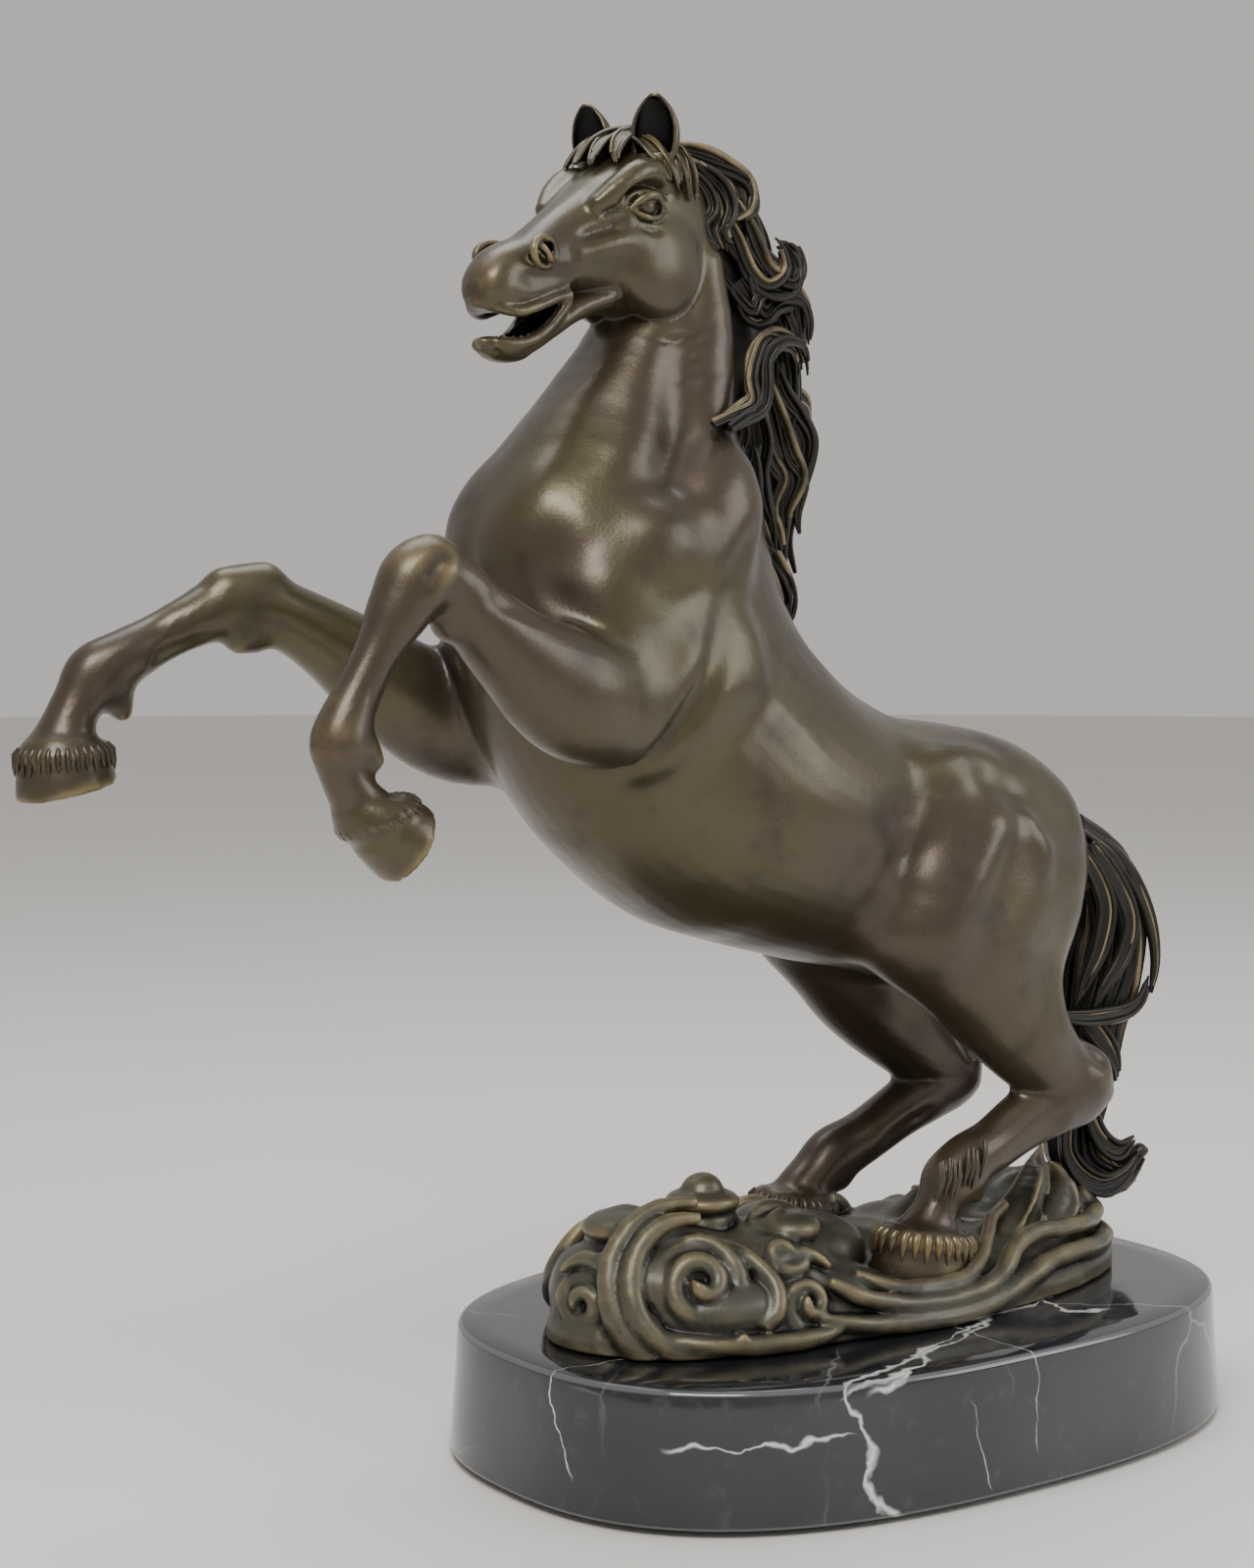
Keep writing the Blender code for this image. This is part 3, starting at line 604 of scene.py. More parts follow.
# %% Hollows and ridges of the trunk
BOTH_SIDES = (                 # height, reach, fade, then the points
    (-2.6, 3.2, 0.25, ((-90, -14, 153), (-84, -20, 155), (-77, -27, 159), (-70, -31, 166),
                       (-63, -33, 176), (-58, -32, 188), (-50, -28, 200), (-42, -22, 208))),
    (-1.6, 6.0, 0.35, ((-62, -33, 172), (-54, -32, 186), (-46, -28, 198))),
    (-2.6, 2.6, 0.25, ((-104, -20, 196), (-97, -22, 191), (-92, -29, 186), (-87, -33, 182),
                       (-80, -34, 179))),
    (-1.4, 5.5, 0.30, ((-66, -9, 236), (-77, -13, 224), (-86, -15, 211), (-93, -16, 200),
                       (-97, -19, 192))),
    (-0.9, 7.0, 0.35, ((-54, -11, 240), (-58, -15, 228), (-66, -19, 212), (-72, -22, 203))),
    (-1.8, 7.0, 0.35, ((-8, -26, 150), (-6, -28, 138), (-3, -26, 128))),
    (-1.1, 5.5, 0.35, ((-20, -25, 121), (-10, -25, 121), (-3, -25, 125), (3, -24, 134))),
    (1.3, 6.0, 0.35, ((-52, -31, 180), (-44, -33, 170), (-36, -34, 162), (-28, -34, 152))),
    (0.8, 3.6, 0.35, ((4, -22, 155), (13, -23, 156), (22, -22, 154), (30, -21, 150))),
    (-1.0, 4.0, 0.35, ((12, -24, 150), (22, -25, 147), (32, -24, 143))),
    (2.4, 3.8, 0.25, ((23, -28, 145), (16, -30, 136), (9, -31, 126), (3, -30, 116), (0, -27, 107))),
    (1.2, 3.2, 0.35, ((24, -29, 146), (29, -31, 140), (32, -31, 131), (31, -31, 122))),
    (-1.6, 2.6, 0.30, ((60, -10, 112), (56, -17, 102), (52, -22, 93), (50, -25, 86))),
)
MIDDLE = (                     # the chest's cleft, the rump's groove and the withers
    (-3.2, 2.6, 0.25, ((-101, 0, 214), (-105, 0, 204), (-103, 0, 190), (-97, 0, 176), (-92, 0, 164))),
    (-1.6, 3.0, 0.30, ((20, 0, 163), (42, 0, 158), (60, 0, 149), (72, 0, 139))),
    (1.4, 4.0, 0.30, ((-30, 0, 194), (-24, 0, 184), (-16, 0, 176))),
)
for height, reach, fade, rows in BOTH_SIDES:
    stroke(body, rows, height, reach, fade)
    stroke(body, mirrored(rows), height, reach, fade)
for height, reach, fade, rows in MIDDLE:
    stroke(body, rows, height, reach, fade)
print(len(BOTH_SIDES), "marks on each side and", len(MIDDLE), "down the middle")

# %% [markdown]
# The legs get tendons down the cannons and hollows beside the joints, and each hoof a
# raised coronet with a groove under it.  Last, a slow unevenness of a third of a
# millimetre goes over the whole body, because hand-worked wax is never quite smooth.

# %% Marks on the legs and hooves
LEG_LINES = (
    (0.9, 1.5, 0.3, ((-133, -28, 179), (-138, -28, 172), (-141.5, -28, 165))),
    (-1.0, 1.4, 0.3, ((-134.5, -32, 181), (-139, -32, 173), (-143, -32.5, 166))),
    (-0.9, 1.3, 0.3, ((-127, -34, 199), (-131, -34.5, 196), (-134, -34, 190))),
    (-1.0, 1.8, 0.3, ((-106, -34, 186), (-113, -34.5, 188), (-121, -34, 190))),
    (0.9, 1.5, 0.3, ((-146, 30, 178), (-154, 31, 174.5), (-162, 31.5, 171.5))),
    (-1.0, 1.4, 0.3, ((-146, 26, 183), (-155, 27, 179.5), (-163, 27.5, 176))),
    (-1.0, 1.4, 0.3, ((44, -28.5, 71), (33, -28, 67), (22, -28, 62))),
    (0.9, 1.6, 0.3, ((42, -22, 66), (32, -22, 62), (23, -22, 57.5))),
    (-1.4, 2.2, 0.3, ((48, -27, 90), (53, -27, 84), (56, -26, 80))),
    (-1.0, 1.4, 0.3, ((42, 14.5, 68), (32, 14.5, 63.5), (22, 14.5, 58.5))),
    (-1.3, 2.0, 0.3, ((47, 14.5, 86), (51, 14.5, 80), (53, 14.5, 76))),
)
for height, reach, fade, rows in LEG_LINES:
    stroke(body, rows, height, reach, fade)


def ring_at(row):
    """The outline of one hoof row as a closed loop of points."""
    turn = np.linspace(0, 2 * math.pi, 25)
    x = (row[0] + row[2]) / 2 + (row[0] - row[2]) / 2 * np.cos(turn)
    z = (row[1] + row[3]) / 2 + (row[1] - row[3]) / 2 * np.cos(turn)
    return np.stack([x, row[6] + row[4] * np.sin(turn), z], 1)


for hoof in HOOVES.values():
    stroke(body, ring_at(hoof[1]), 0.9, 1.1, 0, 1)
    groove = np.array(hoof[1]) * 0.55 + np.array(hoof[2]) * 0.45
    stroke(body, ring_at(groove), -0.5, 1.0, 0, 1)
hand_worked(body, 0.30, 17.0, 4)
print(len(LEG_LINES), "lines on the legs")

# %% [markdown]
# ## The head
#
# The head needs finer cells than the trunk, and it is turned 14 degrees to the left, so
# it is modelled straight in a grid of its own and swung round at the end.  It is built
# like the trunk: a loft from nape to lips for the skull, a second one for the jaw, and
# balls for the chin and the upper lip.

# %% Head: skull and jaw
HEAD_CELL = 0.36
HEAD_BOX = ((-114, -21, 226), (-22, 21, 298))
SKULL = (
    (-46, 279, -46, 252, 9.0, 0.0), (-52, 283.5, -50, 249, 10.6, 0.05),
    (-59, 285.4, -56.5, 247.6, 11.2, 0.06), (-66, 283.0, -64, 248.4, 11.2, 0.0),
    (-71.5, 280.0, -71.5, 250, 10.9, -0.06),
    (-77, 276.6, -77.5, 251.6, 9.8, -0.04), (-82.5, 272.8, -83, 252.3, 8.5, 0.08),
    (-88, 269.2, -88, 251.8, 7.6, 0.16), (-93, 265.8, -93, 249.8, 7.1, 0.18),
    (-98, 262.7, -98.2, 248.2, 6.8, 0.14), (-103, 260.8, -103.4, 246.8, 6.4, 0.08),
    (-107, 258.6, -107.4, 246.8, 5.6, 0.05), (-109.8, 255.2, -110.0, 247.8, 4.2, 0),
    (-111.0, 252.6, -111.0, 250.0, 2.0, 0),
)
JAW = (
    (-66, 0, 254, 5, 8), (-76, 0, 251.7, 3.4, 6.8), (-84, 0, 248.8, 3.0, 5.8),
    (-91, 0, 244.8, 2.8, 5.3), (-98, 0, 240.9, 2.6, 5.0), (-104, 0, 239.7, 2.4, 4.6),
    (-108.0, 0, 240.2, 1.6, 3.4),
)
head = Wax(*HEAD_BOX, HEAD_CELL)
put_mesh(head, slices(SKULL, square=2.5))
put_mesh(head, limb(JAW), 1.2)
put_ball(head, (-102, 0, 239.2), (5.2, 4.0, 2.1), 1.5)
put_ball(head, (-106.4, 0, 251.6), (4.2, 5.0, 4.6), 2.0)
print("head grid:", head.size, "cells of", HEAD_CELL, "mm")

# %% [markdown]
# What shows of the bones: the round cheek, the brow over the eye, and the facial crest
# that runs from the cheek towards the nostril.

# %% Head: cheek, brow and crest
def both_sides(action, rows, *settings):
    action(head, rows, *settings)
    action(head, mirrored(rows), *settings)


both_sides(put_ball, (-63.3, -8.0, 259), (12.6, 5.6, 11.6), 1.4)
both_sides(put_beads, ((-60, -8.4, 276.4, 2.0), (-65.5, -9.6, 277.6, 2.7), (-71.5, -10.0, 277.2, 2.9),
                       (-77, -9.3, 274.0, 2.5), (-82, -7.6, 270.2, 1.6)), 2.6)
both_sides(put_beads, ((-72, -9.2, 263.4, 1.6), (-79, -8.3, 262.0, 1.9), (-87, -6.6, 259.6, 1.3)), 3.0)

# %% [markdown]
# An eye is a ball in a pressed socket, between an upper and a lower lid made of beads,
# with a fine ring for the iris and a dimple for the pupil.

# %% Head: eyes
def ball_cut(wax, row, half_sizes, blend):
    put_ball(wax, row, half_sizes, blend, 0.0, True)


both_sides(ball_cut, (-70.4, -12.7, 270.6), (5.6, 2.5, 3.4), 1.4)
both_sides(put_ball, (-70.1, -9.6, 270.7), (2.6, 2.6, 2.6), 0.3)
both_sides(put_beads, ((-75.4, -10.4, 269.3, 0.5), (-73.0, -11.8, 271.6, 0.9), (-70.1, -12.3, 272.6, 1.0),
                       (-67.4, -11.9, 272.0, 0.9), (-65.2, -11.0, 270.0, 0.5)), 0.5)
both_sides(put_beads, ((-75.0, -10.5, 269.3, 0.45), (-72.7, -11.6, 268.3, 0.6), (-70.1, -12.0, 267.9, 0.65),
                       (-67.4, -11.7, 268.5, 0.6), (-65.4, -11.1, 270.1, 0.45)), 0.5)
both_sides(ball_cut, (-70.3, -12.6, 270.8), (0.6, 0.7, 0.6), 0.2)
loop = np.linspace(0, 2 * math.pi, 17)
iris = np.stack([-70.3 + 1.55 * np.cos(loop), 0 * loop - 11.9, 270.8 + 1.55 * np.sin(loop)], 1)
both_sides(stroke, iris, -0.30, 0.35, 0, 1)

# %% [markdown]
# A nostril is a raised ring round a comma-shaped pit.  A second grid remembers the inside
# of every pit, so that shade can be painted there, nearly black: light hardly reaches it
# on the real casting.

# %% Head: nostrils
painted_shade_grid = Wax(*HEAD_BOX, HEAD_CELL)


def pit(row, half_sizes, blend=0.2):
    """A hole on both sides, remembered in the grid for painted shade."""
    both_sides(ball_cut, row, half_sizes, blend)
    for wanted in (row, mirrored(row)):
        put_ball(painted_shade_grid, wanted, half_sizes, 0)


nostril = np.stack([-97.9 + 4.1 * np.cos(loop), -7.0 + 0.9 * np.cos(loop),
                    258.6 + 3.0 * np.sin(loop), np.full(len(loop), 0.85)], 1)
both_sides(ball_cut, (-97.9, -8.3, 258.6), (3.5, 2.1, 2.5), 0.5)
both_sides(put_beads, nostril, 0.6)
both_sides(put_beads, ((-101.2, -7.4, 260.0, 0.5), (-99.3, -7.6, 259.8, 0.75), (-97.9, -7.7, 258.6, 0.8),
                       (-96.5, -7.5, 257.4, 0.75), (-94.6, -6.8, 257.2, 0.5)), 0.3)
pit((-96.3, -6.4, 259.7), (1.5, 2.4, 1.15))
pit((-99.5, -6.4, 257.5), (1.5, 2.4, 1.1))

# %% [markdown]
# The mouth is open, so two chains of beads are cut out between the upper lip and the jaw,
# and then the lips are put back round the opening as rims.

# %% Head: mouth
def hollow(rows, blend):
    put_beads(head, rows, blend, True)
    # the inside of the mouth is kept for painted shade, near black
    put_beads(painted_shade_grid, rows, 0)


hollow(((-103.5, 0, 245.0, 3.0), (-98, 0, 246.0, 3.7), (-92.5, 0, 247.8, 3.5), (-89, 0, 249.4, 2.2)), 0.8)
hollow(((-105.2, 0, 242.4, 1.8), (-100, 0, 243.0, 3.2), (-94.5, 0, 245.4, 3.3), (-90, 0, 248.2, 2.6)), 0.6)
both_sides(put_beads, ((-109.9, -0.6, 248.6, 1.2), (-107.7, -3.4, 247.3, 1.2), (-103.5, -5.2, 246.6, 1.1),
                       (-98.5, -5.7, 248.0, 1.1), (-93.5, -5.9, 249.9, 1.1), (-89.4, -5.7, 251.0, 1.1)), 1.2)
both_sides(put_beads, ((-108.6, -0.3, 240.5, 0.9), (-106.9, -2.9, 240.4, 0.9), (-102.5, -4.3, 240.5, 0.95),
                       (-98, -4.7, 241.8, 1.0), (-93.5, -5.1, 244.8, 1.05), (-89.2, -5.6, 249.4, 1.2)), 1.0)
print("cells inside the mouth and nostrils:", int((painted_shade_grid.d < 0).sum()))

# %% [markdown]
# Ears are leaves with a scooped front.  The near ear is turned a little outward and the
# far one faces ahead, so they need one direction each instead of a mirror.

# %% Head: ears
EAR_ROOT = (-64.6, -8.0, 279.0)
EAR_ROWS = (                   # share of the height, half width, half thickness
    (0.0, 3.4, 2.6), (0.15, 4.4, 2.9), (0.35, 5.2, 3.0), (0.55, 5.2, 2.8), (0.75, 4.2, 2.3),
    (0.9, 2.6, 1.5), (1.0, 0.9, 0.7))


def ear(side, scoop):
    """The leaf of one ear, or the hollow in its front."""
    rows = smooth_path(EAR_ROWS, 4)
    if scoop:
        rows = rows[(rows[:, 0] > 0.18) & (rows[:, 0] < 0.93)]
    facing = np.array([-0.86, -0.50, 0.12] if side > 0 else [-0.98, -0.12, 0.12])
    across = unit(np.cross(facing, [0, 0, 1.0]))
    lean = np.array([-1.6, -1.4 * side, 15.2])
    root = np.array([EAR_ROOT[0], EAR_ROOT[1] * side, EAR_ROOT[2]])
    bend = np.outer(np.sin(rows[:, 0] * math.pi), facing * -0.9)
    centres = root + rows[:, :1] * lean + bend
    if scoop:
        centres = centres + facing * 1.7
    thick = 0.95 if scoop else 1.0
    wide = 0.76 if scoop else 1.0
    return loft(centres, facing * rows[:, 2:3] * thick, across * rows[:, 1:2] * wide, 28)


for side in (1, -1):
    put_mesh(head, ear(side, False), 1.4)
    put_mesh(head, ear(side, True), 0.3, True)
    # the ear's hollow is kept for painted shade too, near black
    put_mesh(painted_shade_grid, ear(side, True))

# %% [markdown]
# The lines of the face are drawn on the side view and pressed straight through, so each
# lands on whatever skin it meets on both sides, and fades out towards the middle.

# %% Head: lines
def through(wax, rows, height, reach, fade=0.3):
    """A stroke drawn on the side view as x, z points, which marks both sides."""
    path = smooth_path(rows, 5)
    low, high = wax.first * wax.cell, (wax.first + wax.size) * wax.cell
    corners = np.array([(x, y, z) for x, z in path for y in (low[1], high[1])])
    where, (x, y, z) = wax.window(corners, reach * 2.2)
    nearest = np.full(np.broadcast_shapes(x.shape, z.shape), 1e6, np.float32)
    share = np.zeros_like(nearest)
    count = len(path) - 1
    for i, (a, b) in enumerate(zip(path, path[1:])):
        run = b - a
        t = np.clip(((x - a[0]) * run[0] + (z - a[1]) * run[1]) / max(run @ run, 1e-9), 0, 1)
        gap = (x - a[0] - t * run[0]) ** 2 + (z - a[1] - t * run[1]) ** 2
        closer = gap < nearest
        nearest = np.where(closer, gap, nearest)
        share = np.where(closer, (i + t) / count, share)
    taper = np.clip(np.minimum(share, 1 - share) / max(fade, 1e-6), 0, 1)
    side_on = np.clip((np.abs(y) - 3.5) / 3, 0, 1)
    press = height * taper * taper * (3 - 2 * taper) * np.exp(-nearest / reach ** 2) * side_on
    wax.d[where] -= press.astype(np.float32)


def arc(centre, radius, start, end, count=9):
    """Part of a circle on the side view, between two angles in degrees."""
    turn = np.radians(np.linspace(start, end, count))
    return np.stack([centre[0] + radius * np.cos(turn), centre[1] + radius * np.sin(turn)], 1)


CHEEK = (-63.3, 259.0)
FACE_LINES = (                 # height, reach, then the x, z points
    (-2.4, 1.6, arc(CHEEK, 13.3, 205, 350)),
    (-1.3, 0.8, ((-78.5, 269.6), (-75.2, 273.2), (-70.5, 275.0), (-66, 274.6), (-62.6, 272.0))),
    (-0.5, 0.6, ((-82.5, 267.4), (-79.5, 268.8), (-76.5, 269.6))),
    (-0.35, 0.6, ((-80, 265.6), (-77.5, 266.9), (-75, 267.5))),
    (-0.9, 1.3, ((-75, 266.4), (-79.5, 265.2), (-84, 263.6), (-89, 261.4))),
    (-0.5, 0.7, ((-73, 266.0), (-70, 265.2), (-66.5, 265.8))),
    (-1.1, 2.0, ((-87, 256.4), (-91.5, 254.8), (-96, 253.8), (-101, 253.2), (-106, 253.6))),
    (-0.6, 1.0, ((-86.5, 254.2), (-87.6, 252.0), (-87.2, 249.4))),
    (0.4, 1.2, ((-90.5, 253.4), (-89.0, 251.8), (-88.6, 249.6))),
)
for height, reach, rows in FACE_LINES:
    through(head, rows, height, reach)
print(len(FACE_LINES), "lines on the face")

# %% [markdown]
# To join the head to the neck, a grid must be read at places between its cells, in another
# frame: the weighted mean of the eight cells round each place.  The head's frame is the
# body's, swung round a vertical line through the poll.

# %% Reading a grid
TURN = math.radians(14.0)
PIVOT = np.array([-54.0, 0, 0])
SWING = np.array([[math.cos(TURN), -math.sin(TURN), 0],
                  [math.sin(TURN), math.cos(TURN), 0],
                  [0, 0, 1]])


def reading(wax, x, y, z):
    """The distance that a grid holds at any points, blended between its cells."""
    spots = [np.clip(v / wax.cell - first, 0, count - 1.001)
             for v, first, count in zip((x, y, z), wax.first, wax.size)]
    cells = [np.floor(s).astype(np.int32) for s in spots]
    parts = [(s - c).astype(np.float32) for s, c in zip(spots, cells)]
    total = 0
    for corner in range(8):
        bits = [(corner >> k) & 1 for k in range(3)]
        weight = 1
        for part, bit in zip(parts, bits):
            weight = weight * (part if bit else 1 - part)
        total = total + weight * wax.d[tuple(c + b for c, b in zip(cells, bits))]
    return total


def turned(points, back=False):
    """Points of the head's own frame in the body's, or back again."""
    return (points - PIVOT) @ (SWING if back else SWING.T) + PIVOT


def cell_points(wax, box):
    """The slices of a grid in a box, and the place of each cell in it."""
    where, axes = wax.window(box, 0)
    shape = wax.d[where].shape
    return where, np.stack([np.broadcast_to(v, shape) for v in axes], -1).reshape(-1, 3)

# %% [markdown]
# The head's grid takes in the neck with a rounded join, and gets its throat folds.  Then
# the body's grid is given the joined values, all through the head's box.  Both grids hold
# the same neck after that, so a flat cut through it leaves no step.

# %% Join head and neck
where, places = cell_points(head, [head.first * HEAD_CELL, (head.first + head.size) * HEAD_CELL])
neck = reading(body, *turned(places).T).reshape(head.d[where].shape)
head.add(where, neck, 1.2)
for radius, press in ((15.8, -0.9), (18.4, -0.8), (21.0, -0.7), (23.6, -0.5)):
    through(head, arc(CHEEK, radius, 250, 322), press, 1.15, 0.45)

where, places = cell_points(body, [(-112, -24, 232), (-30, 24, 290)])
local = turned(places, back=True)
inside = np.ones(len(local), bool)
for axis in range(3):
    low = head.first[axis] * HEAD_CELL
    inside &= (local[:, axis] > low) & (local[:, axis] < low + (head.size[axis] - 1) * HEAD_CELL)
whole = body.d[where].reshape(-1)
whole[inside] = reading(head, *local[inside].T)
body.d[where] = whole.reshape(body.d[where].shape)
print("cells of the body's grid taken from the head's:", int(inside.sum()))

# %% [markdown]
# ## Foundry sections
#
# A horse this size is cast in sections and brazed, and the CAD has the same ones: torso
# with the neck, head, and four legs.  The head is cut off flat at the seam behind the jaw.
# A BMesh bisect does that, and it carries `relief` along to the new points on the cut.

# %% Cutting at the neck seam
SEAM = (np.array([-40.0, 0, 252.0]), np.array([-0.416, 0, 0.909]))     # point and normal


def sliced(points, faces, values, keep_above):
    """Cut a mesh flat at the neck seam and keep one side."""
    mesh = bpy.data.meshes.new("slice")
    mesh.from_pydata(points.tolist(), [], faces.tolist())
    bm = bmesh.new()
    bm.from_mesh(mesh)
    layer = bm.verts.layers.float.new("value")
    for vert, value in zip(bm.verts, values):
        vert[layer] = value
    bmesh.ops.bisect_plane(bm, geom=bm.verts[:] + bm.edges[:] + bm.faces[:], dist=1e-5,
                           plane_co=SEAM[0], plane_no=SEAM[1], clear_inner=keep_above,
                           clear_outer=not keep_above)
    bmesh.ops.triangulate(bm, faces=[f for f in bm.faces if len(f.verts) > 4])
    return bm, layer


def arrays_of(bm, layer):
    """Triangles as arrays: points, faces and the value on each point."""
    bmesh.ops.triangulate(bm, faces=bm.faces[:])
    bm.verts.index_update()
    points = np.array([v.co[:] for v in bm.verts])
    values = np.array([v[layer] for v in bm.verts])
    faces = np.array([[v.index for v in f.verts] for f in bm.faces])
    bm.free()
    return points, faces, values


# %% [markdown]
# The body's mesh is then shared out by where each face lies: an outline on the side view
# for the forelegs, and a height for the hind legs.  Every section keeps the normals of the
# whole body, so the seams don't show, as on a casting whose seams have been chased away.

# %% Sharing out the sections
FORELEG_OUTLINE = ((-96, 148), (-106, 192), (-113, 199), (-116, 215), (-200, 215),
                   (-200, 120), (-96, 120))
HIND_LEG_TOP = 96.0


def in_outline(x, z, outline):
    """Which points lie inside a closed outline on the side view."""
    inside = np.zeros(len(x), bool)
    for (xa, za), (xb, zb) in zip(outline, outline[1:] + outline[:1]):
        crosses = (za > z) != (zb > z)
        with np.errstate(divide="ignore", invalid="ignore"):
            at = xa + (z - za) * (xb - xa) / (zb - za)
        inside ^= crosses & (x < at)
    return inside


def shared_out(name, points, faces, normals, values, chosen):
    """The chosen faces as a piece of their own, with the whole body's normals."""
    faces = faces[chosen]
    used, index = np.unique(faces, return_inverse=True)
    piece = mesh_piece(name + "_bronze", points[used], index.reshape(faces.shape), BRONZE,
                       (name,), normals[used], {"relief": values[used]})
    return piece


def polished(points, relief, spots):
    """The relief, raised round some places."""
    for centre, size, amount in spots:
        relief = relief + amount * np.exp(-((points - np.array(centre)) ** 2).sum(1) / size ** 2)
    return relief

# %% [markdown]
# Hands and dusters rub a statuette where it sticks out, so the knees, fetlocks, hocks and
# hooves, the nose and the brows get some extra relief and show more brass.

# %% Body sections
BODY_RUBBED = (                # centre, size and how much
    ((-130, -28, 194), 10, 0.4), ((-147, -28, 164), 9, 0.35), ((-138, -28, 143), 10, 0.35),
    ((4, -22, 40), 12, 0.75), ((-138, 30, 191), 9, 0.25), ((-178, 32, 156), 10, 0.3),
    ((54, -22, 77), 8, 0.3), ((14, -22, 60), 8, 0.35),
)
HEAD_RUBBED = (((-106, 0, 255), 13, 0.45), ((-72, -10, 277), 7, 0.25), ((-72, 10, 277), 7, 0.25))
points, quads = surface_of(body, 4)
relief = relief_of(points, edges_of(quads), normals_of(points, quads), 11, 0.50)
relief = polished(points, relief, BODY_RUBBED)
points, faces, relief = arrays_of(*sliced(points, quads, relief, keep_above=False))
normals = normals_of(points, faces)
middle = points[faces].mean(1)
fore = in_outline(middle[:, 0], middle[:, 2], FORELEG_OUTLINE)
hind = middle[:, 2] < HIND_LEG_TOP
left = middle[:, 1] < 0
sorts = {"left_foreleg": fore & left, "right_foreleg": fore & ~left,
         "left_hind_leg": hind & left & ~fore, "right_hind_leg": hind & ~left & ~fore,
         "torso": ~fore & ~hind}
for name, chosen in sorts.items():
    shared_out(name, points, faces, normals, relief, chosen)

# %% [markdown]
# The head is meshed from its own, finer grid.  Where the grid of pits says that a point is
# inside a pit, its relief goes far below zero, which paints shade there, near black.

# %% Head section
points, quads = surface_of(head)
relief = relief_of(points, edges_of(quads), normals_of(points, quads), 16, 0.36)
# painted shade: relief far below zero inside the mouth, nostrils and ear hollows
relief = relief - 1.6 * np.clip((0.5 - reading(painted_shade_grid, *points.T)) / 0.5, 0, 1)
relief = polished(points, relief, HEAD_RUBBED)
points = turned(points)
points, faces, relief = arrays_of(*sliced(points, quads, relief, keep_above=True))
everything = np.ones(len(faces), bool)
shared_out("head", points, faces, normals_of(points, faces), relief, everything)

# %% [markdown]
# ## The cloud base
#
# The base is wax on a grid again, with cells small enough to keep the scrolls' ridges.
# Two more ways to skin a shape are needed: a tube along a line in any direction, whose
# rings don't twist, and a stack of rings, for the base's skirt and later for the plinth.

# %% Tubes and stacks
def tube(rows, count=12):
    """A loft along x, y, z with one radius, whose rings don't twist."""
    rows = np.array(rows, float)
    along = unit(np.gradient(rows[:, :3], axis=0))
    first = unit(np.cross(along[0], [0.31, 0.2, 0.93]))
    ups = [first]
    for way in along[1:]:
        ups.append(unit(ups[-1] - way * (ups[-1] @ way)))
    ups = np.array(ups)
    sides = np.cross(along, ups)
    return loft(rows[:, :3], ups * rows[:, 3:4], sides * rows[:, 3:4], count)


def outline_ring(half_x, half_y, z, exponent, middle, count=96):
    """A level oval; an exponent above 2 makes it squarer."""
    turn = np.arange(count) * 2 * math.pi / count
    c, s = np.cos(turn), np.sin(turn)
    return np.stack([middle[0] + half_x * np.sign(c) * np.abs(c) ** (2 / exponent),
                     middle[1] + half_y * np.sign(s) * np.abs(s) ** (2 / exponent), 0 * turn + z], 1)


def stacked(rings):
    """A closed skin through rings of the same count."""
    count = len(rings[0])
    points = np.vstack(list(rings) + [rings[0].mean(0)[None], rings[-1].mean(0)[None]])
    i = np.arange(count)
    j = (i + 1) % count
    faces = []
    for r in range(len(rings) - 1):
        faces += [(i + count * r, j + count * r, j + count * (r + 1)),
                  (i + count * r, j + count * (r + 1), i + count * (r + 1))]
    top = count * len(rings)
    faces += [(np.full(count, top), j, i), (np.full(count, top + 1), i + top - count, j + top - count)]
    return points, np.hstack([np.array(f) for f in faces]).T


# %% [markdown]
# The mass of the cloud is a low oval mound with rounded lumps on it, high under the chest
# and flatter towards the hind hooves.

# %% Mound and lumps
CLOUD_CELL = 0.64
SKIRT = ((27, 0), (33.5, 0.2), (37, 2.5), (40, 8), (41, 14))           # z and inset
LUMPS = (                      # centre and half sizes
    ((-55, -4, 43), (20, 19, 11)), ((-33, -8, 44), (17, 17, 9)), ((-66, 2, 40), (11, 15, 11)),
    ((-48, -19, 38), (17, 11, 8)), ((-24, -20, 37), (15, 11, 8)), ((-17, -4, 44), (15, 15, 8)),
    ((6, 10, 36), (30, 18, 8)), ((3, -20, 33), (18, 12, 5)), ((42, -8, 35), (30, 18, 7)),
    ((56, 8, 38), (20, 13, 9)), ((-44, 12, 42), (20, 14, 12)), ((30, 20, 36), (16, 10, 8)),
)
cloud = Wax((-84, -40, 26), (83, 38, 66), CLOUD_CELL)
skirt = [outline_ring(79.0 - inset, 34.0 - inset, z, 2.1, (-1.5, -1.5)) for z, inset in SKIRT]
put_mesh(cloud, stacked(skirt))
for centre, half_sizes in LUMPS:
    put_ball(cloud, centre, half_sizes, 2.5)
print("cloud grid:", cloud.size, "cells of", CLOUD_CELL, "mm")

# %% [markdown]
# A scroll is a low dome with a rolled ridge that winds in to its middle, rising as it
# goes.  It is given by its middle, the way it faces, its radius, its turns, which way it
# winds and the angle where the ridge comes in.  One or two arcs lie outside the dome, as
# if more of the cloud were folding over it.

